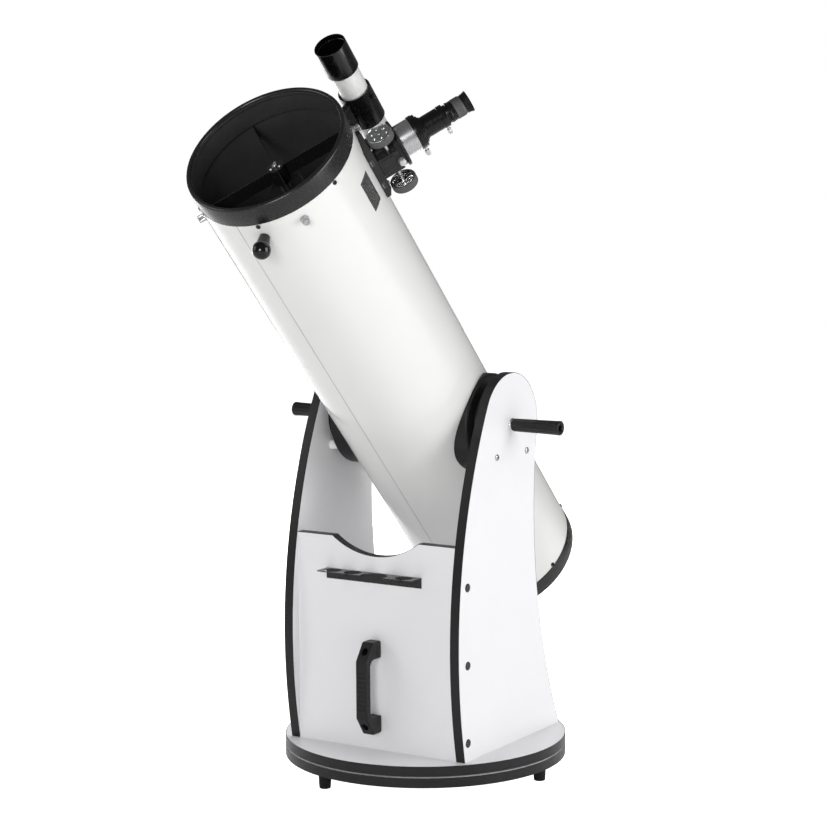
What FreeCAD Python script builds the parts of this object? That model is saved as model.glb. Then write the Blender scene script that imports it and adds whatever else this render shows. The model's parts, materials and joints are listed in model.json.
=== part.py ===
import FreeCAD, Part
import math
import os
import Sketcher

# Dobsonian telescope: a Newtonian tube in a two-axis rocker box.
# Millimetres and degrees. Origin on the floor under the azimuth axis, +Z up,
# +X towards the right-hand side board, -Y towards the front panel.

doc = FreeCAD.newDocument("DobsonianTelescope")

SIZES = [
    # ground board, feet and azimuth pivot
    ("base_radius", 264.5),
    ("board", 18.5),
    ("band", 1.0),
    ("foot_height", 33.8),
    ("foot_top", 13.0),
    ("foot_tip", 10.5),
    ("foot_circle", 230.6),
    ("foot_angle", -111.4),
    ("foot_count", 3),
    ("glide_gap", 2.7),
    ("glide_radius", 20.0),
    ("glide_circle", 200.0),
    ("pivot_radius", 5.0),
    ("pivot_head_radius", 9.0),
    ("pivot_head_height", 6.4),
    ("pivot_washer_radius", 15.0),
    ("pivot_washer_height", 2.0),
    ("pivot_nut_radius", 8.5),
    ("pivot_nut_height", 8.0),
    ("pivot_tip", 4.0),
    ("bushing_radius", 10.0),
    ("bushing_flange", 16.0),
    ("bushing_flange_height", 2.0),
    ("running_gap", 0.05),
    ("skin_gap", 0.3),
    # rocker box
    ("rocker_half_width", 189.5),
    ("panel_face", 169.0),
    ("panel_top", 464.4),
    ("cut_half_width", 92.8),
    ("cut_radius", 153.2),
    ("axis_height", 667.5),
    ("head_radius", 95.5),
    ("front_arc_y", 789.3),
    ("front_arc_z", 271.8),
    ("rear_arc_y", 1083.0),
    ("rear_arc_z", 500.0),
    ("screw_line", 157.9),
    ("screw_first", 107.9),
    ("screw_pitch", 142.0),
    ("screw_shank", 3.5),
    ("screw_length", 50.0),
    ("cap_radius", 8.0),
    ("cap_height", 1.5),
    ("pad_offset", 54.05),
    ("pad_radius", 9.0),
    ("pad_length", 17.5),
    ("pad_bolt", 3.0),
    ("pad_bolt_head", 6.0),
    ("pad_bolt_head_height", 3.0),
    ("rod_hole", 6.5),
    # eyepiece rack
    ("rack_centre", -3.0),
    ("rack_length", 206.0),
    ("rack_depth", 36.5),
    ("rack_top", 402.9),
    ("rack_flange", 19.5),
    ("rack_sheet", 1.5),
    ("rack_corner", 6.0),
    ("rack_hole", 16.2),
    ("rack_hole_line", 187.3),
    ("rack_big_hole", 25.6),
    ("rack_big_line", 197.0),
    ("rack_big_across", 14.5),
    ("rack_screw", 2.0),
    ("rack_screw_head", 4.0),
    ("rack_screw_depth", 11.0),
    ("pan_head_height", 2.5),
    ("pan_head_edge", 1.2),
    # front pull handle
    ("grip_half_width", 11.8),
    ("grip_bottom", 107.5),
    ("grip_top", 279.0),
    ("grip_reach", 49.5),
    ("grip_thickness", 14.5),
    ("grip_chamfer_y", 22.5),
    ("grip_chamfer_z", 33.0),
    ("grip_leg", 32.0),
    ("grip_bend", 13.0),
    ("grip_screw_inset", 16.0),
    ("grip_screw", 2.5),
    ("grip_screw_head", 5.0),
    ("grip_sink", 6.0),
    ("grip_seat", 14.0),
    ("grip_corner", 5.0),
    # tube and end rings, measured along the tube from the altitude axis
    ("tube_altitude", 45.9),
    ("tube_radius", 145.0),
    ("tube_wall", 1.0),
    ("front_reach", 711.8),
    ("rear_reach", 424.1),
    ("ring_radius", 146.0),
    ("ring_inner", 139.0),
    ("ring_lip", 137.0),
    ("ring_lip_depth", 7.0),
    ("ring_roll", 4.5),
    ("ring_throat", 12.0),
    ("front_ring_width", 37.6),
    ("front_skirt", 47.8),
    ("rear_ring_width", 34.8),
    ("rear_skirt", 45.0),
    ("rear_flange_radius", 104.0),
    ("rear_flange_inset", 8.0),
    ("rear_flange_sheet", 5.0),
    ("ring_screw_station", 669.0),
    ("rear_screw_station", 385.0),
    ("ring_screw_angle", -15.0),
    ("ring_screw_count", 6),
    ("ring_screw_head", 4.0),
    # altitude bearings
    ("saddle_root", 105.0),
    ("saddle_radius", 92.0),
    ("saddle_face", 150.0),
    ("hub_radius", 67.1),
    ("hub_face", 169.5),
    ("rod_radius", 5.0),
    ("rod_tip", 152.0),
    ("handle_root", 193.5),
    ("handle_end", 291.8),
    ("handle_root_radius", 11.7),
    ("handle_end_radius", 13.3),
    ("handle_socket", 8.0),
    ("washer_radius", 12.4),
    # spider and secondary
    ("spider_station", 650.0),
    ("spider_half_height", 13.0),
    ("vane_thickness", 1.4),
    ("spider_hub_radius", 15.0),
    ("spider_hub_length", 34.0),
    ("spider_angle", 45.0),
    ("spider_count", 4),
    ("nut_radius", 6.5),
    ("nut_height", 12.0),
    ("stud_radius", 2.5),
    ("secondary_radius", 31.5),
    ("secondary_thickness", 10.0),
    ("holder_front", 42.0),
    ("collimation_circle", 9.0),
    ("collimation_screw", 1.9),
    # primary mirror and cell
    ("mirror_radius", 127.0),
    ("mirror_thickness", 32.0),
    ("mirror_back", 394.0),
    ("focal_length", 1250.0),
    ("cell_radius", 136.0),
    ("cell_sheet", 10.0),
    ("cell_back", 409.0),
    ("cell_bore", 32.0),
    ("cell_vent", 17.0),
    ("cell_vent_circle", 74.0),
    ("cell_knob_circle", 116.0),
    ("cell_knob_radius", 9.0),
    ("cell_knob_length", 16.0),
    ("cell_bolt", 3.0),
    ("cell_spring", 6.0),
    ("cell_knob_angle", 16.0),
    # tube furniture
    ("guide_station", 643.5),
    ("guide_angle", -75.0),
    ("guide_ball", 16.0),
    ("guide_reach", 174.5),
    ("guide_neck", 13.5),
    ("guide_stem", 9.5),
    ("plate_station", 551.5),
    ("plate_length", 65.0),
    ("plate_angle", 3.5),
    ("plate_span", 12.7),
    ("plate_thickness", 0.8),
    # focuser
    ("focuser_station", 575.8),
    ("focuser_angle", 46.5),
    ("port_radius", 33.0),
    ("base_half_width", 47.0),
    ("base_corner", 53.0),
    ("base_half_length", 76.0),
    ("base_nose", 22.0),
    ("base_floor", 120.0),
    ("nut_clearance", 8.0),
    ("base_top", 152.0),
    ("base_slope_foot", 38.0),
    ("base_slope_end", 145.2),
    ("base_screw_x", 38.0),
    ("base_screw_head", 46.0),
    ("base_screw_foot", 32.0),
    ("body_near", 45.0),
    ("body_far", 38.0),
    ("body_foot", 18.5),
    ("body_head", 22.0),
    ("body_corner", 8.0),
    ("neck_radius", 34.0),
    ("body_shoulder", 190.0),
    ("barrel_radius", 38.0),
    ("flange_radius", 42.5),
    ("flange_base", 199.5),
    ("flange_top", 204.5),
    ("draw_radius", 29.35),
    ("draw_bore", 26.0),
    ("draw_foot", 144.0),
    ("draw_top", 233.0),
    ("draw_gap", 0.1),
    ("shaft_radius", 4.0),
    ("shaft_level", 177.0),
    ("knob_radius", 23.5),
    ("knob_shift", 3.0),
    ("knob_inner", 46.5),
    ("knob_outer", 61.0),
    ("collar_radius", 31.2),
    ("collar_top", 246.2),
    ("adapter_top", 295.5),
    ("adapter_foot", 198.0),
    ("adapter_shoulder", 21.5),
    ("adapter_radius", 19.4),
    ("adapter_bore", 15.95),
    ("adapter_mouth", 20.3),
    ("adapter_mouth_length", 11.0),
    ("eyepiece_barrel", 15.88),
    ("eyepiece_radius", 17.6),
    ("eyepiece_top", 348.8),
    ("eyecup_radius", 19.4),
    ("lock_level", 189.0),
    # finder
    ("finder_angle", 75.0),
    ("finder_offset", 210.0),
    ("finder_front", 752.0),
    ("dew_rear", 694.5),
    ("bracket_front", 648.0),
    ("bracket_rear", 580.0),
    ("finder_rear", 512.0),
    ("dew_radius", 28.7),
    ("dew_wall", 2.0),
    ("finder_radius", 25.2),
    ("finder_wall", 1.5),
    ("bracket_radius", 29.6),
    ("bracket_wall", 2.6),
    ("shoe_length", 60.0),
    ("shoe_half_width", 19.0),
    ("shoe_top", 153.0),
    ("dovetail_neck", 8.0),
    ("dovetail_root", 10.0),
    ("dovetail_depth", 4.0),
    ("leg_length", 44.0),
    ("aim_screw", 1.6),
    ("aim_head", 4.0),
    ("aim_head_foot", 31.5),
    ("aim_tip", 36.5),
    ("aim_inset", 16.0),
    ("aim_angle", 75.0),
    ("finder_tail", 16.0),
]


class Dim:
    """A sheet-driven size: its present value and the expression that gives it."""

    def __init__(self, value, text):
        self.value = float(value)
        self.text = text

    def __add__(self, other):
        return Dim(self.value + num(other), "(%s + %s)" % (self.text, txt(other)))

    def __radd__(self, other):
        return Dim(num(other) + self.value, "(%s + %s)" % (txt(other), self.text))

    def __sub__(self, other):
        return Dim(self.value - num(other), "(%s - %s)" % (self.text, txt(other)))

    def __rsub__(self, other):
        return Dim(num(other) - self.value, "(%s - %s)" % (txt(other), self.text))

    def __mul__(self, other):
        return Dim(self.value * num(other), "(%s * %s)" % (self.text, txt(other)))

    def __rmul__(self, other):
        return self * other

    def __truediv__(self, other):
        return Dim(self.value / num(other), "(%s / %s)" % (self.text, txt(other)))

    def __neg__(self):
        return Dim(-self.value, "(0 - %s)" % self.text)


def num(x):
    return x.value if isinstance(x, Dim) else float(x)


def txt(x):
    return x.text if isinstance(x, Dim) else repr(float(x))


def root(x):
    return Dim(math.sqrt(num(x)), "sqrt(%s)" % txt(x))


def cosine(x):
    return Dim(math.cos(math.radians(num(x))), "cos(%s)" % txt(x))


def sine(x):
    return Dim(math.sin(math.radians(num(x))), "sin(%s)" % txt(x))


class Sizes:
    """The driving dimensions by name."""


d = Sizes()
sheet = doc.addObject("Spreadsheet::Sheet", "Spec")
for row, (name, value) in enumerate(SIZES, start=1):
    sheet.set("A%d" % row, name)
    sheet.set("B%d" % row, str(value))
    sheet.setAlias("B%d" % row, name)
    setattr(d, name, Dim(value, "Spec." + name))
doc.recompute()

NODES = []

# Frames. TUBE has its z axis along the optical axis and x along the altitude axis.
FLOOR = "placement(vector(0; 0; 0); rotation(vector(0; 0; 1); 0))"
TUBE = (
    "placement(vector(0; 0; Spec.axis_height); "
    "rotation(vector(1; 0; 0); 90 - Spec.tube_altitude))"
)


def turned(frame, angle, station=0.0):
    """A tube frame turned about the optical axis and moved along it."""
    return "%s * placement(vector(0; 0; %s); rotation(vector(0; 0; 1); %s))" % (
        frame, txt(station), txt(angle))


def shifted(frame, x, y, z):
    return "%s * placement(vector(%s; %s; %s); rotation(vector(0; 0; 1); 0))" % (
        frame, txt(x), txt(y), txt(z))


# FOCUSER has its z axis outwards along the drawtube and y along the tube.
FOCUSER = (
    turned(TUBE, d.focuser_angle, d.focuser_station)
    + " * placement(vector(0; 0; 0); rotation(vector(1; 1; 1); 120))"
)
FINDER = shifted(turned(TUBE, d.finder_angle), d.finder_offset, 0.0, 0.0)


def bind(obj, prop, value):
    """Give a property its value, driven by the sheet when it is a Dim."""
    if isinstance(value, Dim):
        obj.setExpression(prop, value.text)
    else:
        setattr(obj, prop, value)


def new_body(label, frame=None, node=True):
    body = doc.addObject("PartDesign::Body", label)
    body.Label = label
    if frame:
        body.setExpression("Placement", frame)
    if node:
        NODES.append(body)
    return body


def new_sketch(body, role, offset=None):
    sketch = body.newObject("Sketcher::SketchObject", body.Label + "_sketch")
    base = [f for f in body.Origin.OriginFeatures if f.Role == role][0]
    sketch.AttachmentSupport = [(base, "")]
    sketch.MapMode = "FlatFace"
    if offset is not None:
        # the XZ plane's normal points along -Y
        height = -1.0 * offset if role == "XZ_Plane" else 1.0 * offset
        sketch.setExpression("AttachmentOffset.Base.z", txt(height))
    return sketch


def size(sketch, kind, geo, *rest):
    """Add a dimensional constraint; the last argument is its size."""
    value = rest[-1]
    places = rest[:-1]
    index = sketch.addConstraint(Sketcher.Constraint(kind, geo, *places, num(value)))
    if isinstance(value, Dim):
        sketch.setExpression("Constraints[%d]" % index, value.text)


def lock(sketch, geo, end, point):
    size(sketch, "DistanceX", geo, end, point[0])
    size(sketch, "DistanceY", geo, end, point[1])


def loop(sketch, points):
    """Closed outline. A point is (x, y), or (x, y, radius, turn) when an arc runs
    from it to the next point, with turn 1 for counter-clockwise and -1 for clockwise."""
    ends = []
    for i, start in enumerate(points):
        stop = points[(i + 1) % len(points)]
        p = FreeCAD.Vector(num(start[0]), num(start[1]), 0)
        q = FreeCAD.Vector(num(stop[0]), num(stop[1]), 0)
        if len(start) == 2:
            geo = sketch.addGeometry(Part.LineSegment(p, q), False)
            ends.append((geo, 1, 2, start))
            continue
        radius = num(start[2])
        turn = start[3]
        half = (q - p).Length / 2
        side = FreeCAD.Vector(p.y - q.y, q.x - p.x, 0).normalize() * turn
        centre = (p + q) / 2 + side * math.sqrt(max(radius * radius - half * half, 0))
        first, last = (p, q) if turn > 0 else (q, p)
        a = math.atan2(first.y - centre.y, first.x - centre.x)
        b = math.atan2(last.y - centre.y, last.x - centre.x)
        if b < a:
            b += 2 * math.pi
        circle_arc = Part.ArcOfCircle(
            Part.Circle(centre, FreeCAD.Vector(0, 0, 1), radius), a, b)
        geo = sketch.addGeometry(circle_arc, False)
        ends.append((geo, 1, 2, start) if turn > 0 else (geo, 2, 1, start))
    for i, (geo, head, tail, start) in enumerate(ends):
        following = ends[(i + 1) % len(ends)]
        sketch.addConstraint(
            Sketcher.Constraint("Coincident", geo, tail, following[0], following[1]))
        lock(sketch, geo, head, start)
        if len(start) == 4:
            size(sketch, "Radius", geo, start[2])


def circle(sketch, x, y, radius):
    centre = FreeCAD.Vector(num(x), num(y), 0)
    geo = sketch.addGeometry(
        Part.Circle(centre, FreeCAD.Vector(0, 0, 1), num(radius)), False)
    lock(sketch, geo, 3, (x, y))
    size(sketch, "Radius", geo, radius)


def axis_line(sketch, start, stop):
    """A construction line to turn a profile about."""
    p = FreeCAD.Vector(num(start[0]), num(start[1]), 0)
    q = FreeCAD.Vector(num(stop[0]), num(stop[1]), 0)
    geo = sketch.addGeometry(Part.LineSegment(p, q), True)
    lock(sketch, geo, 1, start)
    lock(sketch, geo, 2, stop)


def feature(body, kind, sketch):
    item = body.newObject("PartDesign::" + kind, body.Label + "_" + kind.lower())
    item.Profile = sketch
    sketch.Visibility = False
    return item


def pad(body, sketch, length, symmetric=False, reverse=False):
    item = feature(body, "Pad", sketch)
    bind(item, "Length", length)
    if symmetric:
        item.SideType = "Symmetric"
    item.Reversed = reverse
    return item


def pocket(body, sketch, length=None, reverse=False):
    """Cut to a depth, or right through both ways when no depth is given."""
    item = feature(body, "Pocket", sketch)
    if length is None:
        item.SideType = "Symmetric"
        item.Type = "ThroughAll"
    else:
        bind(item, "Length", length)
        item.Reversed = reverse
    return item


def revolve(body, sketch, about):
    item = feature(body, "Revolution", sketch)
    item.ReferenceAxis = (sketch, [about])
    item.Angle = 360
    return item


def ring_of(body, original, sketch, count, about="V_Axis"):
    """Repeat the last feature evenly about an axis of its sketch."""
    item = body.newObject("PartDesign::PolarPattern", body.Label + "_pattern")
    item.Originals = [original]
    item.Axis = (sketch, [about])
    item.Angle = 360
    bind(item, "Occurrences", count)
    body.Tip = item
    return item


def box_points(x0, y0, x1, y1):
    return [(x0, y0), (x1, y0), (x1, y1), (x0, y1)]


def plate(label, role, outline, thickness, offset=0.0, frame=None, holes=(),
          symmetric=False, node=True):
    """A body padded from one closed outline with optional round holes."""
    body = new_body(label, frame, node)
    sketch = new_sketch(body, role, offset)
    loop(sketch, outline)
    for hole in holes:
        circle(sketch, *hole)
    pad(body, sketch, thickness, symmetric)
    return body


def disc(label, radius, bottom, height, bore=None, frame=None):
    """A round plate about the z axis, with an optional bore."""
    body = new_body(label, frame)
    sketch = new_sketch(body, "XY_Plane", bottom)
    circle(sketch, 0.0, 0.0, radius)
    if bore is not None:
        circle(sketch, 0.0, 0.0, bore)
    pad(body, sketch, height)
    return body


def turned_part(label, points, frame=None, about="V_Axis", node=True):
    """A body turned from a profile (x, z) about the frame's z or x axis."""
    body = new_body(label, frame, node)
    sketch = new_sketch(body, "XZ_Plane")
    loop(sketch, points)
    revolve(body, sketch, about)
    return body


def turned_set(label, points, start, stop, count, frame=None, node=True):
    """Equal turned pieces about their own axis, repeated about the frame's z axis."""
    body = new_body(label, frame, node)
    sketch = new_sketch(body, "XZ_Plane")
    loop(sketch, points)
    axis_line(sketch, start, stop)
    ring_of(body, revolve(body, sketch, "Axis0"), sketch, count)
    return body


def gather(label, parts):
    """One node that holds several equal separate pieces."""
    group = doc.addObject("Part::Compound", label)
    group.Label = label
    group.Links = parts
    NODES.append(group)
    return group


# ---------------------------------------------------------------- ground board
ground_top = d.foot_height + d.board
deck_bottom = ground_top + d.glide_gap
deck_top = deck_bottom + d.board
core_radius = d.base_radius - d.band

turned_set(
    "feet",
    [
        (d.foot_circle, 0.0),
        (d.foot_circle + d.foot_tip, 0.0),
        (d.foot_circle + d.foot_top, d.foot_height),
        (d.foot_circle, d.foot_height),
    ],
    (d.foot_circle, 0.0), (d.foot_circle, d.foot_height), d.foot_count,
    turned(FLOOR, d.foot_angle),
)
disc("ground_board", core_radius, d.foot_height, d.board, d.pivot_radius)
disc("ground_board_band", d.base_radius, d.foot_height, d.board, core_radius)
turned_set(
    "glide_pads",
    [
        (d.glide_circle, ground_top),
        (d.glide_circle + d.glide_radius, ground_top),
        (d.glide_circle + d.glide_radius, deck_bottom - d.skin_gap),
        (d.glide_circle, deck_bottom - d.skin_gap),
    ],
    (d.glide_circle, 0.0), (d.glide_circle, 10.0), d.foot_count,
    turned(FLOOR, d.foot_angle),
)
washer_level = deck_top + d.bushing_flange_height + d.skin_gap
nut_level = washer_level + d.pivot_washer_height
nut_top = nut_level + d.pivot_nut_height
turned_part(
    "pivot_bolt",
    [
        (0.0, d.foot_height - d.pivot_head_height),
        (d.pivot_head_radius, d.foot_height - d.pivot_head_height),
        (d.pivot_head_radius, d.foot_height),
        (d.pivot_radius, d.foot_height),
        (d.pivot_radius, washer_level),
        (d.pivot_washer_radius, washer_level),
        (d.pivot_washer_radius, nut_level),
        (d.pivot_nut_radius, nut_level),
        (d.pivot_nut_radius, nut_top),
        (d.pivot_radius, nut_top),
        (d.pivot_radius, nut_top + d.pivot_tip),
        (0.0, nut_top + d.pivot_tip),
    ],
)

# ------------------------------------------------------------------ rocker box
disc("rocker_deck", core_radius, deck_bottom, d.board, d.bushing_radius)
disc("rocker_deck_band", d.base_radius, deck_bottom, d.board, core_radius)
turned_part(
    "pivot_bushing",
    [
        (d.pivot_radius + d.running_gap, deck_bottom),
        (d.bushing_radius, deck_bottom),
        (d.bushing_radius, deck_top),
        (d.bushing_flange, deck_top),
        (d.bushing_flange, deck_top + d.bushing_flange_height),
        (d.pivot_radius + d.running_gap, deck_top + d.bushing_flange_height),
    ],
)

wall_inner = d.rocker_half_width - d.board
front_drop = d.axis_height - d.front_arc_z
rear_drop = d.axis_height - d.rear_arc_z
front_span = root(d.front_arc_y * d.front_arc_y + front_drop * front_drop)
rear_span = root(d.rear_arc_y * d.rear_arc_y + rear_drop * rear_drop)


def board_side(inset):
    """Arc vertices of a side board's outline, moved in by the banding thickness."""
    head = d.head_radius - inset
    front = front_span + head
    rear = rear_span - head
    low_front = d.front_arc_z - deck_top
    low_rear = d.rear_arc_z - deck_top
    foot_front = d.front_arc_y - root(front * front - low_front * low_front)
    foot_rear = d.rear_arc_y - root(rear * rear - low_rear * low_rear)
    tip_front = (-(head * d.front_arc_y / front_span),
                 d.axis_height + head * front_drop / front_span)
    tip_rear = (head * d.rear_arc_y / rear_span,
                d.axis_height - head * rear_drop / rear_span)
    return head, front, rear, foot_front, foot_rear, tip_front, tip_rear


outer = board_side(0.0)
inner = board_side(d.band)
core_outline = [
    (inner[3], deck_top),
    (inner[4], deck_top, inner[2], -1),
    (inner[6][0], inner[6][1], inner[0], 1),
    (inner[5][0], inner[5][1], inner[1], 1),
]
band_outline = [
    (inner[4], deck_top),
    (outer[4], deck_top, outer[2], -1),
    (outer[6][0], outer[6][1], outer[0], 1),
    (outer[5][0], outer[5][1], outer[1], 1),
    (outer[3], deck_top),
    (inner[3], deck_top, inner[1], -1),
    (inner[5][0], inner[5][1], inner[0], -1),
    (inner[6][0], inner[6][1], inner[2], 1),
]
side_holes = [(-d.screw_line, d.screw_first + d.screw_pitch * k, d.screw_shank)
              for k in range(3)]
side_holes += [(d.pad_offset * s, d.axis_height - d.pad_offset, d.pad_bolt) for s in (-1, 1)]
side_holes += [(0.0, d.axis_height, d.rod_hole)]
side_bands = []
for side, start in (("right", wall_inner), ("left", -d.rocker_half_width)):
    plate("side_board_" + side, "YZ_Plane", core_outline, d.board, start, holes=side_holes)
    side_bands.append(plate("side_band_" + side, "YZ_Plane", band_outline, d.board, start,
                            node=False))
gather("side_bands", side_bands)

panel_back = -(d.panel_face - d.board)
core_top = d.panel_top - d.band
cut_depth = d.cut_radius - root(d.cut_radius * d.cut_radius
                                - d.cut_half_width * d.cut_half_width)
cut_core_radius = d.cut_radius + d.band
cut_centre = d.panel_top + d.cut_radius - cut_depth
core_rise = cut_centre - core_top
cut_core_half = root(cut_core_radius * cut_core_radius - core_rise * core_rise)
panel = plate(
    "front_panel", "XZ_Plane",
    [
        (-wall_inner, deck_top),
        (wall_inner, deck_top),
        (wall_inner, core_top),
        (cut_core_half, core_top, cut_core_radius, -1),
        (-cut_core_half, core_top),
        (-wall_inner, core_top),
    ],
    d.board, panel_back,
)
for side, start, backward in (("right", wall_inner, False), ("left", -wall_inner, True)):
    bores = new_sketch(panel, "YZ_Plane", start)
    for k in range(3):
        circle(bores, -d.screw_line, d.screw_first + d.screw_pitch * k, d.screw_shank)
    pocket(panel, bores, d.screw_length - d.board, backward)
plate(
    "front_panel_band", "XZ_Plane",
    [
        (-wall_inner, core_top),
        (-cut_core_half, core_top, cut_core_radius, 1),
        (cut_core_half, core_top),
        (wall_inner, core_top),
        (wall_inner, d.panel_top),
        (d.cut_half_width, d.panel_top, d.cut_radius, -1),
        (-d.cut_half_width, d.panel_top),
        (-wall_inner, d.panel_top),
    ],
    d.board, panel_back,
)

cap_face = d.rocker_half_width + d.cap_height
screws = []
for side in (1.0, -1.0):
    for k in range(3):
        flip = 0.0 if side > 0 else 180.0
        frame = ("placement(vector(0; %s; %s); rotation(vector(0; 0; 1); %s))"
                 % (txt(-d.screw_line), txt(d.screw_first + d.screw_pitch * k), flip))
        screws.append(turned_part(
            "panel_screw_%d" % len(screws),
            [
                (d.rocker_half_width - d.screw_length, 0.0),
                (cap_face, 0.0),
                (cap_face, d.cap_radius - 1.0),
                (cap_face - 1.0, d.cap_radius),
                (d.rocker_half_width, d.cap_radius),
                (d.rocker_half_width, d.screw_shank),
                (d.rocker_half_width - d.screw_length, d.screw_shank),
            ],
            frame, "H_Axis", node=False))

pads = []
bolts = []
for side in (0.0, 180.0):
    for level in (-1.0, 1.0):
        frame = ("placement(vector(0; %s; %s); rotation(vector(0; 0; 1); %s))"
                 % (txt(d.pad_offset * level), txt(d.axis_height - d.pad_offset), side))
        pads.append(turned_part(
            "bearing_pad_%d" % len(pads),
            [
                (wall_inner - d.pad_length, d.pad_bolt),
                (wall_inner, d.pad_bolt),
                (wall_inner, d.pad_radius),
                (wall_inner - d.pad_length + 1.0, d.pad_radius),
                (wall_inner - d.pad_length, d.pad_radius - 1.0),
            ],
            frame, "H_Axis", node=False))
        bolt_face = d.rocker_half_width + d.pad_bolt_head_height
        bolts.append(turned_part(
            "pad_bolt_%d" % len(bolts),
            [
                (wall_inner - d.pad_length, 0.0),
                (bolt_face, 0.0),
                (bolt_face, d.pad_bolt_head - 2.0),
                (bolt_face - 2.0, d.pad_bolt_head),
                (d.rocker_half_width, d.pad_bolt_head),
                (d.rocker_half_width, d.pad_bolt),
                (wall_inner - d.pad_length, d.pad_bolt),
            ],
            frame, "H_Axis", node=False))
gather("altitude_pads", pads)
gather("pad_bolts", bolts)

# -------------------------------------------------------- rack and pull handle
rack_x0 = d.rack_centre - d.rack_length / 2
rack_x1 = d.rack_centre + d.rack_length / 2
rack_bottom = d.rack_top - d.rack_sheet
rack_face = -(d.panel_face + d.rack_depth)
rack_wall = -(d.panel_face + d.rack_sheet)
big_reach = d.rack_depth + d.panel_face - d.rack_big_line
big_half = root(d.rack_big_hole * d.rack_big_hole - big_reach * big_reach)
big_x = d.rack_big_across
RACK_HOLE_X = (-80.1, -36.9, 73.7)
RACK_SCREW_X = (-62.0, 56.0)
corner = d.rack_corner
rack = new_body("eyepiece_rack")
shelf = new_sketch(rack, "XY_Plane", rack_bottom)
loop(shelf, [
    (rack_x0 + corner, rack_face),
    (big_x - big_half, rack_face, d.rack_big_hole, -1),
    (big_x, -(d.rack_big_line - d.rack_big_hole), d.rack_big_hole, -1),
    (big_x + big_half, rack_face),
    (rack_x1 - corner, rack_face, corner, 1),
    (rack_x1, rack_face + corner),
    (rack_x1, rack_wall),
    (rack_x0, rack_wall),
    (rack_x0, rack_face + corner, corner, 1),
])
for hole_x in RACK_HOLE_X:
    circle(shelf, hole_x, -d.rack_hole_line, d.rack_hole)
pad(rack, shelf, d.rack_sheet)
lip = new_sketch(rack, "XZ_Plane", rack_wall)
loop(lip, box_points(rack_x0, d.rack_top - d.rack_flange, rack_x1, d.rack_top))
pad(rack, lip, d.rack_sheet, reverse=True)
rack_holes = new_sketch(rack, "XZ_Plane")
for x in RACK_SCREW_X:
    circle(rack_holes, x, d.rack_top - d.rack_flange / 2, d.rack_screw)
pocket(rack, rack_holes)
panel_rack = new_sketch(panel, "XZ_Plane", -d.panel_face)
for x in RACK_SCREW_X:
    circle(panel_rack, x, d.rack_top - d.rack_flange / 2, d.rack_screw)
pocket(panel, panel_rack, d.rack_screw_depth + 1.0)


def wall_screw(label, x, z, shank, head, face, depth):
    """A pan-head screw driven into the front panel."""
    frame = ("placement(vector(%s; 0; %s); rotation(vector(0; 0; 1); -90))"
             % (txt(x), txt(z)))
    return turned_part(
        label,
        [
            (d.panel_face - depth, 0.0),
            (face + d.pan_head_height, 0.0),
            (face + d.pan_head_height, head - 1.0),
            (face + d.pan_head_edge, head),
            (face, head),
            (face, shank),
            (d.panel_face - depth, shank),
        ],
        frame, "H_Axis", node=False)


screws += [
    wall_screw("rack_screw_%d" % i, x, d.rack_top - d.rack_flange / 2, d.rack_screw,
               d.rack_screw_head, d.panel_face + d.rack_sheet, d.rack_screw_depth)
    for i, x in enumerate(RACK_SCREW_X)
]

grip_face = -(d.panel_face + d.grip_reach)
grip_back = grip_face + d.grip_thickness
opening_low = d.grip_bottom + d.grip_leg
opening_high = d.grip_top - d.grip_leg
grip = plate(
    "front_handle", "YZ_Plane",
    [
        (-d.panel_face, d.grip_bottom + d.grip_corner),
        (-d.panel_face, opening_low),
        (grip_back + d.grip_bend, opening_low, d.grip_bend, -1),
        (grip_back, opening_low + d.grip_bend),
        (grip_back, opening_high - d.grip_bend, d.grip_bend, -1),
        (grip_back + d.grip_bend, opening_high),
        (-d.panel_face, opening_high),
        (-d.panel_face, d.grip_top - d.grip_corner, d.grip_corner, 1),
        (-(d.panel_face + d.grip_corner), d.grip_top),
        (grip_face + d.grip_chamfer_y, d.grip_top),
        (grip_face, d.grip_top - d.grip_chamfer_z),
        (grip_face, d.grip_bottom + d.grip_chamfer_z),
        (grip_face + d.grip_chamfer_y, d.grip_bottom),
        (-(d.panel_face + d.grip_corner), d.grip_bottom, d.grip_corner, 1),
    ],
    2 * d.grip_half_width, 0.0, symmetric=True,
)
screw_levels = (d.grip_bottom + d.grip_screw_inset, d.grip_top - d.grip_screw_inset)
sinks = new_sketch(grip, "XZ_Plane", -(d.panel_face + d.grip_seat))
for level in screw_levels:
    circle(sinks, 0.0, level, d.grip_sink)
pocket(grip, sinks, 60.0, True)
shank_holes = new_sketch(grip, "XZ_Plane")
for level in screw_levels:
    circle(shank_holes, 0.0, level, d.grip_screw)
pocket(grip, shank_holes)
panel_grip = new_sketch(panel, "XZ_Plane", -d.panel_face)
for level in screw_levels:
    circle(panel_grip, 0.0, level, d.grip_screw)
pocket(panel, panel_grip, d.grip_seat + 1.0)
screws += [
    wall_screw("handle_screw_%d" % i, 0.0, level, d.grip_screw,
               d.grip_screw_head, d.panel_face + d.grip_seat, d.grip_seat)
    for i, level in enumerate(screw_levels)
]
gather("rocker_screws", screws)

# ------------------------------------------------------------- tube and rings
tube_inner = d.tube_radius - d.tube_wall
shell_front = d.front_reach - d.ring_lip_depth
shell_rear = -(d.rear_reach - d.rear_flange_inset)
shell = new_body("tube_shell", turned(TUBE, d.focuser_angle))
wall = new_sketch(shell, "XY_Plane", shell_rear)
circle(wall, 0.0, 0.0, d.tube_radius)
circle(wall, 0.0, 0.0, tube_inner)
pad(shell, wall, shell_front - shell_rear)
port = new_sketch(shell, "YZ_Plane")
circle(port, 0.0, d.focuser_station, d.port_radius)
pocket(shell, port, d.tube_radius + 10.0, True)

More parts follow.
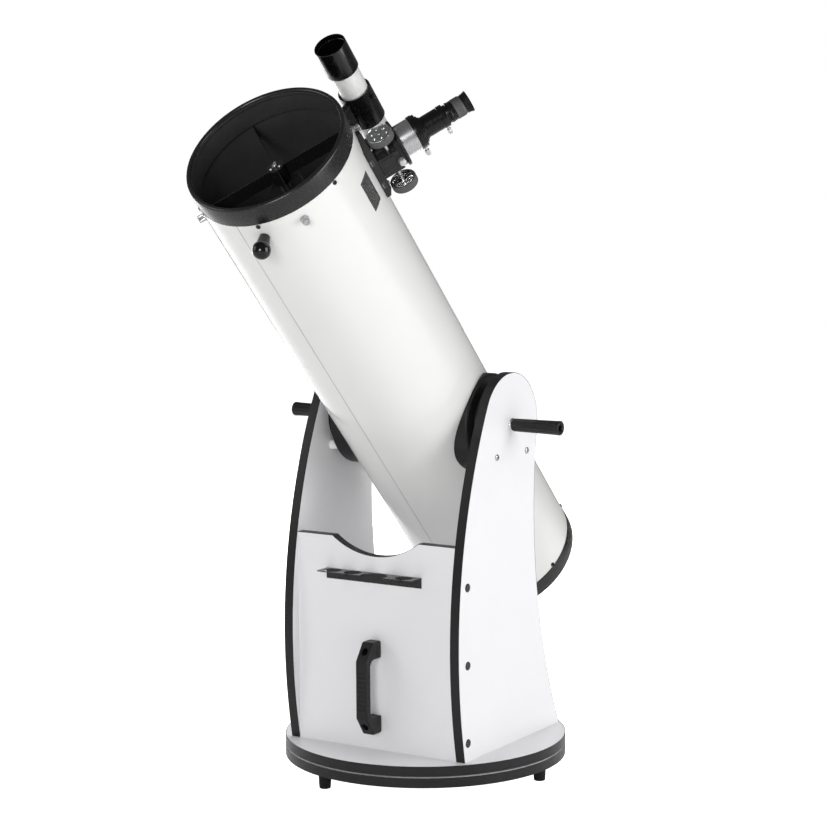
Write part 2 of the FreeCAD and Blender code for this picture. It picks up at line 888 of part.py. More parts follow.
turned_part(
    "front_ring",
    [
        (d.ring_lip, d.front_reach - d.ring_roll, d.ring_roll, -1),
        (d.ring_radius - d.ring_roll, d.front_reach, d.ring_roll, -1),
        (d.ring_radius, d.front_reach - d.ring_roll),
        (d.ring_radius, d.front_reach - d.front_ring_width),
        (d.tube_radius, d.front_reach - d.front_ring_width),
        (d.tube_radius, shell_front),
        (tube_inner, shell_front),
        (tube_inner, d.front_reach - d.front_skirt),
        (d.ring_inner, d.front_reach - d.front_skirt),
        (d.ring_inner, d.front_reach - d.ring_throat),
    ],
    TUBE,
)
rear_face = -d.rear_reach
rear_ring = turned_part(
    "rear_ring",
    [
        (d.rear_flange_radius, shell_rear),
        (d.rear_flange_radius, shell_rear + d.rear_flange_sheet),
        (d.ring_inner, shell_rear + d.rear_flange_sheet),
        (d.ring_inner, rear_face + d.rear_skirt),
        (tube_inner, rear_face + d.rear_skirt),
        (tube_inner, shell_rear),
        (d.tube_radius, shell_rear),
        (d.tube_radius, rear_face + d.rear_ring_width),
        (d.ring_radius, rear_face + d.rear_ring_width),
        (d.ring_radius, rear_face + 3.0),
        (d.ring_radius - 3.0, rear_face),
        (d.ring_inner + 1.0, rear_face),
        (d.ring_inner + 1.0, shell_rear),
    ],
    turned(TUBE, d.cell_knob_angle),
)
bolt_holes = new_sketch(rear_ring, "XY_Plane")
for k in range(3):
    circle(bolt_holes, d.cell_knob_circle * cosine(120.0 * k),
           d.cell_knob_circle * sine(120.0 * k), d.cell_bolt + d.running_gap)
pocket(rear_ring, bolt_holes)


def cap_screw_set(label, station):
    """Small screws round the tube that hold an end ring."""
    return turned_set(
        label,
        [
            (d.tube_radius, station),
            (d.tube_radius + 1.8, station),
            (d.tube_radius + 1.8, station + d.ring_screw_head - 1.0),
            (d.tube_radius + 1.0, station + d.ring_screw_head),
            (d.tube_radius, station + d.ring_screw_head),
        ],
        (d.tube_radius, station), (d.tube_radius + 2.0, station), d.ring_screw_count,
        turned(TUBE, d.ring_screw_angle), node=False,
    )


gather("ring_screws", [
    cap_screw_set("front_ring_screws", d.ring_screw_station),
    cap_screw_set("rear_ring_screws", -d.rear_screw_station),
])

# --------------------------------------------------------- altitude bearings
for side, flip in (("right", 0.0), ("left", 180.0)):
    bearing = turned_part(
        "altitude_bearing_" + side,
        [
            (d.saddle_root, 0.0),
            (d.hub_face, 0.0),
            (d.hub_face, d.hub_radius - 1.0),
            (d.hub_face - 1.0, d.hub_radius),
            (d.saddle_face, d.hub_radius),
            (d.saddle_face, d.saddle_radius - 3.0),
            (d.saddle_face - 3.0, d.saddle_radius),
            (d.saddle_root, d.saddle_radius),
        ],
        turned(TUBE, flip), "H_Axis")
    scribe = new_sketch(bearing, "XY_Plane")
    circle(scribe, 0.0, 0.0, d.tube_radius)
    pocket(bearing, scribe)
    bore = new_sketch(bearing, "YZ_Plane", d.rod_tip - 1.0)
    circle(bore, 0.0, 0.0, d.rod_radius + d.running_gap)
    pocket(bearing, bore, 30.0, True)

for side, flip in (("right", 0.0), ("left", 180.0)):
    frame = turned(TUBE, flip)
    washer_in = d.rocker_half_width + d.skin_gap
    turned_part(
        "tension_rod_" + side,
        [
            (d.rod_tip, 0.0),
            (d.handle_root + 20.0, 0.0),
            (d.handle_root + 20.0, d.rod_radius),
            (d.handle_root, d.rod_radius),
            (d.handle_root, d.washer_radius - 1.5),
            (washer_in + 1.6, d.washer_radius),
            (washer_in, d.washer_radius),
            (washer_in, d.rod_radius),
            (d.rod_tip, d.rod_radius),
        ],
        frame, "H_Axis")
    turned_part(
        "tension_handle_" + side,
        [
            (d.handle_root, d.rod_radius),
            (d.handle_root + 20.0, d.rod_radius),
            (d.handle_root + 20.0, 0.0),
            (d.handle_end - 22.0, 0.0),
            (d.handle_end - 22.0, d.handle_socket),
            (d.handle_end, d.handle_socket + 1.5),
            (d.handle_end, d.handle_end_radius - 1.5),
            (d.handle_end - 2.0, d.handle_end_radius),
            (d.handle_root + 1.5, d.handle_root_radius),
            (d.handle_root, d.handle_root_radius - 1.5),
        ],
        frame, "H_Axis")

# ------------------------------------------------------- spider and secondary
spider_low = d.spider_station - d.spider_half_height
spider = new_body("spider", turned(TUBE, d.spider_angle))
hub = new_sketch(spider, "XY_Plane", d.spider_station - d.spider_hub_length / 2)
circle(hub, 0.0, 0.0, d.spider_hub_radius)
pad(spider, hub, d.spider_hub_length)
for turn in (0, 1):
    vane = new_sketch(spider, "XY_Plane", spider_low)
    reach = tube_inner - 0.1
    thin = d.vane_thickness / 2
    corners = box_points(-reach, -thin, reach, thin)
    loop(vane, corners if turn == 0 else [(y, x) for x, y in reversed(corners)])
    pad(spider, vane, 2 * d.spider_half_height)
centre_bore = new_sketch(spider, "XY_Plane")
circle(centre_bore, 0.0, 0.0, d.stud_radius)
pocket(spider, centre_bore)
turned_set(
    "spider_nuts",
    [
        (d.tube_radius, d.spider_station),
        (d.tube_radius + d.nut_height + 2.0, d.spider_station),
        (d.tube_radius + d.nut_height + 2.0, d.spider_station + d.stud_radius),
        (d.tube_radius + d.nut_height, d.spider_station + d.stud_radius),
        (d.tube_radius + d.nut_height, d.spider_station + d.nut_radius - 1.0),
        (d.tube_radius + d.nut_height - 1.0, d.spider_station + d.nut_radius),
        (d.tube_radius, d.spider_station + d.nut_radius),
    ],
    (d.tube_radius, d.spider_station), (d.tube_radius + 5.0, d.spider_station),
    d.spider_count,
    turned(TUBE, d.spider_angle),
)

slant = d.secondary_thickness * root(2.0)
wide = 3 * d.secondary_radius
holder = new_body("secondary_holder", FOCUSER)
holder_round = new_sketch(holder, "XZ_Plane", d.holder_front)
circle(holder_round, 0.0, 0.0, d.secondary_radius)
pad(holder, holder_round, wide)
holder_cut = new_sketch(holder, "YZ_Plane")
loop(holder_cut, [
    (slant - wide, -wide),
    (slant + wide, wide),
    (-wide, wide),
    (-wide, -wide),
])
pocket(holder, holder_cut)
mirror2 = new_body("secondary_mirror", FOCUSER)
mirror2_round = new_sketch(mirror2, "XZ_Plane", wide / 2)
circle(mirror2_round, 0.0, 0.0, d.secondary_radius)
pad(mirror2, mirror2_round, wide)
mirror2_front = new_sketch(mirror2, "YZ_Plane")
loop(mirror2_front, [(-wide, -wide), (wide, wide), (-wide, wide)])
pocket(mirror2, mirror2_front)
mirror2_back = new_sketch(mirror2, "YZ_Plane")
loop(mirror2_back, [(slant - wide, -wide), (wide, -wide), (wide, wide - slant)])
pocket(mirror2, mirror2_back)

holder_level = d.focuser_station + d.holder_front
hub_front = d.spider_station + d.spider_hub_length / 2
hub_rear = d.spider_station - d.spider_hub_length / 2
secondary_bolt = turned_part(
    "secondary_bolt",
    [
        (0.0, holder_level),
        (d.stud_radius, holder_level),
        (d.stud_radius, hub_front),
        (5.0, hub_front),
        (5.0, hub_front + 4.0),
        (0.0, hub_front + 4.0),
    ],
    TUBE, node=False,
)
adjusters = turned_set(
    "secondary_adjusters",
    [
        (d.collimation_circle, holder_level),
        (d.collimation_circle + d.collimation_screw, holder_level),
        (d.collimation_circle + d.collimation_screw, hub_rear),
        (d.collimation_circle, hub_rear),
    ],
    (d.collimation_circle, holder_level), (d.collimation_circle, hub_rear), 3, TUBE,
    node=False,
)
gather("secondary_screws", [secondary_bolt, adjusters])

# ------------------------------------------------------ primary mirror and cell
mirror_front = -(d.mirror_back - d.mirror_thickness)
sagitta = 3.2
turned_part(
    "primary_mirror",
    [
        (0.0, -d.mirror_back),
        (d.mirror_radius, -d.mirror_back),
        (d.mirror_radius, mirror_front),
        (d.mirror_radius - 1.0, mirror_front, 2 * d.focal_length, -1),
        (0.0, mirror_front - sagitta),
    ],
    TUBE,
)
flange_front = shell_rear + d.rear_flange_sheet
cell_front = d.cell_sheet - d.cell_back
clip_circle = d.mirror_radius + 3.2
cell = new_body("mirror_cell", turned(TUBE, d.cell_knob_angle))
cell_disc = new_sketch(cell, "XY_Plane", -d.cell_back)
circle(cell_disc, 0.0, 0.0, d.cell_radius)
circle(cell_disc, 0.0, 0.0, d.cell_bore)
for k in range(6):
    circle(cell_disc, d.cell_vent_circle * cosine(60.0 * k + 30.0),
           d.cell_vent_circle * sine(60.0 * k + 30.0), d.cell_vent)
pad(cell, cell_disc, d.cell_sheet)
# pads under the mirror, posts beside it, spring seats behind the plate
for centre, radius, turn, low, high in (
    (88.0, 10.0, 0.0, cell_front, -d.mirror_back),
    (clip_circle, 3.0, 60.0, cell_front, mirror_front + 3.0),
    (d.cell_knob_circle, d.cell_spring, 0.0, flange_front, -d.cell_back),
):
    bosses = new_sketch(cell, "XY_Plane", low)
    for k in range(3):
        circle(bosses, centre * cosine(120.0 * k + turn), centre * sine(120.0 * k + turn),
               radius)
    pad(cell, bosses, high - low)
for k in range(3):
    turned_part(
        "collimation_knob_%d" % (k + 1),
        [
            (0.0, shell_rear - d.cell_knob_length),
            (d.cell_knob_radius - 2.0, shell_rear - d.cell_knob_length),
            (d.cell_knob_radius, shell_rear - d.cell_knob_length + 2.0),
            (d.cell_knob_radius, shell_rear - d.skin_gap),
            (d.cell_bolt, shell_rear - d.skin_gap),
            (d.cell_bolt, flange_front - d.skin_gap),
            (0.0, flange_front - d.skin_gap),
        ],
        shifted(turned(TUBE, d.cell_knob_angle + 120.0 * k), d.cell_knob_circle, 0.0, 0.0),
    )

# ------------------------------------------------------- knob and name plate
ball_root = root(d.guide_ball * d.guide_ball - d.guide_neck * d.guide_neck)
turned_part(
    "guide_knob",
    [
        (d.tube_radius, 0.0),
        (d.guide_reach + d.guide_ball, 0.0, d.guide_ball, 1),
        (d.guide_reach, d.guide_ball, d.guide_ball, 1),
        (d.guide_reach - ball_root, d.guide_neck),
        (d.tube_radius + 2.0, d.guide_stem),
        (d.tube_radius, d.guide_stem),
    ],
    turned(TUBE, d.guide_angle, d.guide_station), "H_Axis",
)
plate_outer = d.tube_radius + d.plate_thickness
plate_stop = d.plate_angle + d.plate_span
plate(
    "name_plate", "XY_Plane",
    [
        (d.tube_radius * cosine(d.plate_angle), d.tube_radius * sine(d.plate_angle)),
        (plate_outer * cosine(d.plate_angle), plate_outer * sine(d.plate_angle),
         plate_outer, 1),
        (plate_outer * cosine(plate_stop), plate_outer * sine(plate_stop)),
        (d.tube_radius * cosine(plate_stop), d.tube_radius * sine(plate_stop),
         d.tube_radius, -1),
    ],
    d.plate_length, d.plate_station, TUBE,
)

# --------------------------------------------------------------------- focuser
throat = d.draw_radius + d.draw_gap
base = plate(
    "focuser_base", "XY_Plane",
    [
        (d.base_half_width, -d.base_corner),
        (d.base_half_width, d.base_corner),
        (d.base_nose, d.base_half_length),
        (-d.base_nose, d.base_half_length),
        (-d.base_half_width, d.base_corner),
        (-d.base_half_width, -d.base_corner),
    ],
    d.base_top - d.base_floor, d.base_floor, FOCUSER,
)
base_scribe = new_sketch(base, "XZ_Plane")
circle(base_scribe, 0.0, 0.0, d.tube_radius)
pocket(base, base_scribe)
base_bore = new_sketch(base, "XY_Plane")
circle(base_bore, 0.0, 0.0, throat + 1.0)
pocket(base, base_bore)
base_slope = new_sketch(base, "YZ_Plane")
loop(base_slope, [
    (-d.base_slope_foot, d.base_top),
    (-(d.base_corner + 1.0), d.base_slope_end),
    (-(d.base_corner + 1.0), d.base_top + 1.0),
    (-d.base_slope_foot, d.base_top + 1.0),
])
pocket(base, base_slope)
# the nose is scalloped round the spider nut beside it
nut_notch = new_sketch(base, "XY_Plane")
circle(nut_notch, -(d.tube_radius * sine(d.focuser_angle - d.spider_angle)),
       d.spider_station - d.focuser_station, d.nut_clearance)
pocket(base, nut_notch)

barrel_x = -(d.draw_radius + d.shaft_radius + d.running_gap)
body = new_body("focuser_body", FOCUSER)
block = new_sketch(body, "XY_Plane", d.base_top)
loop(block, [
    (-d.body_near, -d.body_foot),
    (d.body_far - d.body_corner, -d.body_foot),
    (d.body_far, d.body_corner - d.body_foot),
    (d.body_far, d.body_head - d.body_corner),
    (d.body_far - d.body_corner, d.body_head),
    (-d.body_near, d.body_head),
])
pad(body, block, d.body_shoulder - d.base_top)
for radius, low, high in (
    (d.neck_radius, d.base_top, d.body_shoulder),
    (d.barrel_radius, d.body_shoulder, d.flange_base),
    (d.flange_radius, d.flange_base, d.flange_top),
):
    round_top = new_sketch(body, "XY_Plane", low)
    circle(round_top, 0.0, 0.0, radius)
    pad(body, round_top, high - low)
bore = new_sketch(body, "XY_Plane")
circle(bore, 0.0, 0.0, throat)
pocket(body, bore)
shaft_bore = new_sketch(body, "XZ_Plane")
circle(shaft_bore, barrel_x, d.shaft_level, d.shaft_radius + d.running_gap)
pocket(body, shaft_bore)
lock_bore = new_sketch(body, "YZ_Plane", -d.body_near)
circle(lock_bore, 0.0, d.lock_level, 2.0 + d.running_gap)
pocket(body, lock_bore, d.body_near, True)

turned_part(
    "focuser_lock_screw",
    [
        (-(d.body_near + 12.0), 0.0),
        (-(d.draw_radius + 0.6), 0.0),
        (-(d.draw_radius + 0.6), 2.0),
        (-(d.body_near + d.skin_gap), 2.0),
        (-(d.body_near + d.skin_gap), 5.0),
        (-(d.body_near + 2.0), 6.2),
        (-(d.body_near + 11.0), 6.2),
        (-(d.body_near + 12.0), 5.2),
    ],
    shifted(FOCUSER, 0.0, 0.0, d.lock_level), "H_Axis",
)
turned_part(
    "drawtube",
    [
        (d.draw_bore, d.draw_foot),
        (d.draw_radius, d.draw_foot),
        (d.draw_radius, d.draw_top),
        (d.draw_bore, d.draw_top),
    ],
    FOCUSER,
)
collar_level = (d.draw_top + d.collar_top) / 2
collar = turned_part(
    "drawtube_collar",
    [
        (d.draw_bore, d.draw_top),
        (d.collar_radius, d.draw_top),
        (d.collar_radius, d.collar_top - 1.0),
        (d.collar_radius - 1.0, d.collar_top),
        (d.draw_bore, d.collar_top),
    ],
    FOCUSER,
)
barrel_2 = d.draw_bore - d.running_gap
mouth_foot = d.adapter_top - d.adapter_mouth_length
adapter = turned_part(
    "eyepiece_adapter",
    [
        (d.adapter_bore, d.adapter_foot),
        (barrel_2, d.adapter_foot),
        (barrel_2, d.collar_top),
        (d.adapter_shoulder, d.collar_top + 1.0),
        (d.adapter_shoulder, d.collar_top + 5.0),
        (d.adapter_radius, d.collar_top + 6.5),
        (d.adapter_radius, mouth_foot),
        (d.adapter_mouth, mouth_foot + 1.0),
        (d.adapter_mouth, d.adapter_top - 1.0),
        (d.adapter_mouth - 1.0, d.adapter_top),
        (d.adapter_bore, d.adapter_top),
    ],
    FOCUSER,
)
mouth_level = d.adapter_top - d.adapter_mouth_length / 2


def thumb_screw(label, holder_body, level, tip, face, stem, head, long_stem):
    """A knurled screw through one wall of a collar, pointing down the tube."""
    hole = new_sketch(holder_body, "XZ_Plane")
    circle(hole, 0.0, level, stem + d.running_gap)
    pocket(holder_body, hole, 2 * d.collar_radius, True)
    frame = ("%s * placement(vector(0; 0; %s); rotation(vector(0; 0; 1); -90))"
             % (FOCUSER, txt(level)))
    return turned_part(
        label,
        [
            (tip, 0.0),
            (face + long_stem + 11.0, 0.0),
            (face + long_stem + 11.0, head - 0.8),
            (face + long_stem + 10.2, head),
            (face + long_stem, head),
            (face + long_stem, stem),
            (tip, stem),
        ],
        frame, "H_Axis")


thumb_screw("collar_screw", collar, collar_level, d.draw_bore + 0.4, d.collar_radius,
            2.0, 4.5, 12.0)
thumb_screw("adapter_screw", adapter, mouth_level, d.adapter_bore + 0.4, d.adapter_mouth,
            1.6, 3.8, 8.0)

turned_part(
    "eyepiece",
    [
        (d.eyepiece_barrel - 2.0, d.adapter_top - 32.0),
        (d.eyepiece_barrel, d.adapter_top - 32.0),
        (d.eyepiece_barrel, d.adapter_top + 0.3),
        (16.8, d.adapter_top + 0.3),
        (16.8, 300.0),
        (18.3, 301.5),
        (18.3, 304.5),
        (d.eyepiece_radius, 306.0),
        (d.eyepiece_radius, 312.5),
        (d.eyepiece_radius + 0.6, 313.0),
        (d.eyepiece_radius + 0.6, 326.0),
        (16.6, 330.0),
        (16.6, d.eyepiece_top - 8.0),
        (9.0, d.eyepiece_top - 6.0),
        (9.0, 300.0),
        (d.eyepiece_barrel - 2.0, 296.0),
    ],
    FOCUSER,
)
turned_part(
    "eyecup",
    [
        (16.6, 332.0),
        (17.6, 332.0),
        (17.2, d.eyepiece_top - 7.0),
        (d.eyecup_radius, d.eyepiece_top - 1.0),
        (d.eyecup_radius - 1.0, d.eyepiece_top),
        (d.eyecup_radius - 3.0, d.eyepiece_top - 3.0),
        (16.6, d.eyepiece_top - 6.0),
    ],
    FOCUSER,
)

knob_rim = d.knob_radius
knob_outline = [
    (-(d.knob_outer - 3.0), 0.0),
    (d.knob_outer - 3.0, 0.0),
    (d.knob_outer - 3.0, knob_rim - 5.0),
    (d.knob_outer, knob_rim - 4.0),
    (d.knob_outer, knob_rim - 1.5),
    (d.knob_outer - 1.5, knob_rim),
    (d.knob_inner + 1.0, knob_rim),
    (d.knob_inner, knob_rim - 1.0),
    (d.knob_inner, knob_rim - 4.0),
    (d.knob_inner + 5.0, knob_rim - 5.0),
    (d.knob_inner + 5.0, 10.0),
    (d.knob_inner, 9.0),
    (d.knob_inner, d.shaft_radius),
    (-d.knob_inner, d.shaft_radius),
    (-d.knob_inner, 9.0),
    (-(d.knob_inner + 5.0), 10.0),
    (-(d.knob_inner + 5.0), knob_rim - 5.0),
    (-d.knob_inner, knob_rim - 4.0),
    (-d.knob_inner, knob_rim - 1.0),
    (-(d.knob_inner + 1.0), knob_rim),
    (-(d.knob_outer - 1.5), knob_rim),
    (-d.knob_outer, knob_rim - 1.5),
    (-d.knob_outer, knob_rim - 4.0),
    (-(d.knob_outer - 3.0), knob_rim - 5.0),
]
turned_part(
    "focus_knobs", knob_outline,
    "%s * placement(vector(%s; %s; %s); rotation(vector(0; 0; 1); 90))"
    % (FOCUSER, txt(barrel_x), txt(d.knob_shift), txt(d.shaft_level)),
    "H_Axis",
)

# four screws that hold the focuser's foot
foot_screws = []
for x in (-d.base_screw_x, d.base_screw_x):
    for y in (-d.base_screw_foot, d.base_screw_head):
        foot_screws.append(turned_part(
            "foot_screw_%d" % len(foot_screws),
            [
                (0.0, d.base_top),
                (3.6, d.base_top),
                (3.6, d.base_top + 1.6),
                (2.6, d.base_top + 2.6),
                (0.0, d.base_top + 2.6),
            ],
            shifted(FOCUSER, x, y, 0.0), node=False))
gather("focuser_screws", foot_screws)

# ---------------------------------------------------------------------- finder
bracket_inner = d.bracket_radius - d.bracket_wall
shoe_middle = (d.bracket_front + d.bracket_rear) / 2
shoe_rear = shoe_middle - d.shoe_length / 2
channel_floor = d.shoe_top - d.dovetail_depth
shoe = plate(
    "finder_shoe", "XY_Plane",
    [
        (d.tube_radius - 6.0, -d.shoe_half_width),
        (d.shoe_top, -d.shoe_half_width),
        (d.shoe_top, -d.dovetail_neck),
        (channel_floor, -d.dovetail_root),
        (channel_floor, d.dovetail_root),
        (d.shoe_top, d.dovetail_neck),
        (d.shoe_top, d.shoe_half_width),
        (d.tube_radius - 6.0, d.shoe_half_width),
    ],
    d.shoe_length, shoe_rear, turned(TUBE, d.finder_angle),
)
shoe_scribe = new_sketch(shoe, "XY_Plane")
circle(shoe_scribe, 0.0, 0.0, d.tube_radius)
pocket(shoe, shoe_scribe)

tongue = channel_floor + d.skin_gap - d.finder_offset
tongue_neck = d.dovetail_neck - d.skin_gap
tongue_root = d.dovetail_root - d.skin_gap
tongue_top = d.shoe_top + d.skin_gap - d.finder_offset
leg_reach = root(bracket_inner * bracket_inner - tongue_neck * tongue_neck)
bracket = new_body("finder_bracket", FINDER)
leg = new_sketch(bracket, "XY_Plane", shoe_middle - d.leg_length / 2)
loop(leg, [
    (tongue, -tongue_root),
    (tongue, tongue_root),
    (tongue_top, tongue_neck),
    (-leg_reach, tongue_neck),
    (-leg_reach, -tongue_neck),
    (tongue_top, -tongue_neck),
])
pad(bracket, leg, d.leg_length)
hoop = new_sketch(bracket, "XY_Plane", d.bracket_rear)
circle(hoop, 0.0, 0.0, d.bracket_radius)
pad(bracket, hoop, d.bracket_front - d.bracket_rear)
hoop_bore = new_sketch(bracket, "XY_Plane", d.bracket_rear + 6.0)
circle(hoop_bore, 0.0, 0.0, bracket_inner)
pocket(bracket, hoop_bore, d.bracket_front - d.bracket_rear, True)
seat_bore = new_sketch(bracket, "XY_Plane")
circle(seat_bore, 0.0, 0.0, d.finder_radius)
pocket(bracket, seat_bore)
screw_level = d.bracket_front - d.aim_inset
for side, angle in (("right", -d.aim_angle), ("left", d.aim_angle)):
    screw_hole = new_sketch(bracket, "YZ_Plane")
    screw_hole.AttachmentOffset = FreeCAD.Placement(
        FreeCAD.Vector(0, 0, 0), FreeCAD.Rotation(FreeCAD.Vector(0, 1, 0), num(angle)))
    circle(screw_hole, 0.0, screw_level, d.aim_screw + d.running_gap)
    pocket(bracket, screw_hole, 40.0, True)
    turned_part(
        "finder_screw_" + side,
        [
            (d.finder_radius + d.skin_gap, 0.0),
            (d.aim_tip, 0.0),
            (d.aim_tip, d.aim_head - 0.8),
            (d.aim_tip - 0.8, d.aim_head),
            (d.aim_head_foot, d.aim_head),
            (d.aim_head_foot, d.aim_screw),
            (d.finder_radius + d.skin_gap, d.aim_screw),
        ],
        turned(FINDER, angle, screw_level), "H_Axis")

finder_bore = d.finder_radius - d.finder_wall
objective_seat = d.dew_rear + 2.0
turned_part(
    "finder_tube",
    [
        (d.finder_tail, d.finder_rear),
        (d.finder_tail, d.finder_rear + 8.0),
        (d.finder_radius, d.finder_rear + 28.0),
        (d.finder_radius, d.dew_rear + 6.5),
        (finder_bore, d.dew_rear + 6.5),
        (finder_bore, d.finder_rear + 29.0),
        (d.finder_tail - d.finder_wall, d.finder_rear + 8.5),
        (d.finder_tail - d.finder_wall, d.finder_rear),
    ],
    FINDER,
)
turned_part(
    "dew_shield",
    [
        (d.finder_radius, d.dew_rear),
        (d.dew_radius - 1.0, d.dew_rear),
        (d.dew_radius, d.dew_rear + 1.0),
        (d.dew_radius, d.finder_front - 0.8),
        (d.dew_radius - 0.8, d.finder_front),
        (d.dew_radius - d.dew_wall, d.finder_front),
        (d.dew_radius - d.dew_wall, d.dew_rear + 6.5),
        (d.finder_radius, d.dew_rear + 6.5),
    ],
    FINDER,
)
turned_part(
    "finder_objective",
    [
        (0.0, objective_seat - 4.0),
        (finder_bore, objective_seat - 4.0),
        (finder_bore, objective_seat - 1.0),
        (finder_bore - 4.0, objective_seat),
        (0.0, objective_seat),
    ],
    FINDER,
)
tail_inner = d.finder_tail - d.finder_wall
turned_part(
    "finder_eyepiece",
    [
        (0.0, d.finder_rear - 22.0),
        (11.0, d.finder_rear - 22.0),
        (11.0, d.finder_rear - 25.0),
        (d.finder_tail - 2.5, d.finder_rear - 27.0),
        (d.finder_tail, d.finder_rear - 24.0),
        (d.finder_tail, d.finder_rear - 14.0),
        (d.finder_tail - 1.5, d.finder_rear - 13.0),
        (d.finder_tail - 1.5, d.finder_rear - 4.0),
        (d.finder_tail - 0.5, d.finder_rear - 3.0),
        (d.finder_tail - 0.5, d.finder_rear),
        (tail_inner, d.finder_rear),
        (tail_inner, d.finder_rear + 6.0),
        (0.0, d.finder_rear + 6.0),
    ],
    FINDER,
)

# ------------------------------------------------------- checks and STEP files
doc.recompute()
for item in doc.Objects:
    if any(word in state for state in item.State for word in ("Invalid", "Error")):
        raise RuntimeError("%s: %s" % (item.Label, item.State))
for node in NODES:
    shape = node.Shape
    if shape.isNull() or not shape.isValid() or not shape.Solids:
        raise RuntimeError("bad shape: %s" % node.Label)
os.makedirs("parts", exist_ok=True)
for node in NODES:
    node.Shape.exportStep("parts/%s.step" % node.Label)
print("nodes written:", len(NODES))
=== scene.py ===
import json
import math
import bmesh
import bpy
from mathutils import Matrix, Vector


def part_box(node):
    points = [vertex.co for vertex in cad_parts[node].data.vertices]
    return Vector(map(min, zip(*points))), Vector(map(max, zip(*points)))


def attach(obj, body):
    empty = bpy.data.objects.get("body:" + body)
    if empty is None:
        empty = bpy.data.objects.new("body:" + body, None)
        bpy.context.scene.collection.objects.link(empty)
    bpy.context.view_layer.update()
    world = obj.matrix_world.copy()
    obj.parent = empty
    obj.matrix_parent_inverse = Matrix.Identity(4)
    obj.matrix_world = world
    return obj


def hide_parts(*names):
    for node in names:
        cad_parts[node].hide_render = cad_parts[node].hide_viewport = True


# Dobsonian telescope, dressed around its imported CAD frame.
# Lengths here are millimetres in a local frame; MM turns them into metres.

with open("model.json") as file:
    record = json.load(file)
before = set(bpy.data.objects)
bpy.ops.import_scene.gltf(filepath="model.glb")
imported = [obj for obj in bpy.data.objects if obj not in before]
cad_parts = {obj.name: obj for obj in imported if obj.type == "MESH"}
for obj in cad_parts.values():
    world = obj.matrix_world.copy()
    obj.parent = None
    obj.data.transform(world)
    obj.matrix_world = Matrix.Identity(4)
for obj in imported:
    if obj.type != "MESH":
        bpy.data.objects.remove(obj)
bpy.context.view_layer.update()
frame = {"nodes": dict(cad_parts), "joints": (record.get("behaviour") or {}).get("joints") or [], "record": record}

MM = 0.001
NODES = frame["nodes"]
RECORD = frame["record"]
HOME = {node: body for body, members in RECORD["behaviour"]["bodies"].items() for node in members}
scene = bpy.context.scene


# ------------------------------------------------------------------- frames
def joint(name):
    return next(j for j in frame["joints"] if j["name"] == name)


def axes(x, y, z, origin):
    """A frame from its three directions and its origin."""
    matrix = Matrix((x, y, z)).transposed().to_4x4()
    matrix.translation = origin
    return matrix


def shifted(base, x=0.0, y=0.0, z=0.0):
    return base @ Matrix.Translation(Vector((x, y, z)) * MM)


def turned(base, angle, station=0.0, reach=0.0):
    """base turned about its z axis, then moved along z and outwards."""
    spin = Matrix.Rotation(math.radians(angle), 4, "Z")
    return shifted(base @ spin, x=reach, z=station)


def facing(base, direction):
    """base with its z axis turned to one of its own axes."""
    turns = {
        "+x": Matrix.Rotation(math.pi / 2, 4, "Y"),
        "-x": Matrix.Rotation(-math.pi / 2, 4, "Y"),
        "+y": Matrix.Rotation(-math.pi / 2, 4, "X"),
        "-y": Matrix.Rotation(math.pi / 2, 4, "X"),
        "-z": Matrix.Rotation(math.pi, 4, "X"),
    }
    return base @ turns[direction]


def span(node, base):
    """Least radius, greatest radius, lowest and highest point about base's z axis."""
    inverse = base.inverted()
    points = [(inverse @ v.co) / MM for v in NODES[node].data.vertices]
    radii = [math.hypot(p.x, p.y) for p in points]
    heights = [p.z for p in points]
    return min(radii), max(radii), min(heights), max(heights)


def levels(node):
    """Lowest and highest point of a node above the floor."""
    low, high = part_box(node)
    return low.z / MM, high.z / MM


FLOOR = Matrix.Identity(4)
RIGHT = Vector((1, 0, 0))
SKYWARD = Vector(joint("finder_slide")["axis"])
PIVOT = Vector(joint("altitude")["pos_m"])
TUBE = axes(RIGHT, SKYWARD.cross(RIGHT), SKYWARD, PIVOT)
OUTWARD = Vector(joint("draw_slide")["axis"])
SHAFT = Vector(joint("focus_turn")["pos_m"])
FOCUS_STATION = 575.8
FOCUSER = axes(SKYWARD.cross(OUTWARD), SKYWARD, OUTWARD, PIVOT + SKYWARD * FOCUS_STATION * MM)
FINDER_ANGLE = 75.0
FINDER_OFFSET = 210.0
FINDER = turned(TUBE, FINDER_ANGLE, reach=FINDER_OFFSET)


# ---------------------------------------------------------------- materials
def node_tree(name):
    look = bpy.data.materials.new(name)
    look.use_nodes = True
    tree = look.node_tree
    return look, tree, tree.nodes["Principled BSDF"]


def coordinates(tree, stretch, base=None):
    """Object coordinates in metres, seen along a frame's axes and stretched."""
    where = tree.nodes.new("ShaderNodeTexCoord")
    mapping = tree.nodes.new("ShaderNodeMapping")
    mapping.vector_type = "TEXTURE"
    mapping.inputs["Scale"].default_value = stretch
    if base is not None:
        mapping.inputs["Rotation"].default_value = base.to_euler()
        mapping.inputs["Location"].default_value = base.translation
    tree.links.new(where.outputs["Object"], mapping.inputs["Vector"])
    return mapping.outputs["Vector"]


def noise(tree, vector, scale, detail=3.0, rough=0.55):
    item = tree.nodes.new("ShaderNodeTexNoise")
    item.inputs["Scale"].default_value = scale
    item.inputs["Detail"].default_value = detail
    item.inputs["Roughness"].default_value = rough
    tree.links.new(vector, item.inputs["Vector"])
    return item.outputs["Fac"]


def ranged(tree, value, low, high, start=0.3, stop=0.7):
    item = tree.nodes.new("ShaderNodeMapRange")
    item.inputs["From Min"].default_value = start
    item.inputs["From Max"].default_value = stop
    item.inputs["To Min"].default_value = low
    item.inputs["To Max"].default_value = high
    tree.links.new(value, item.inputs["Value"])
    return item.outputs["Result"]


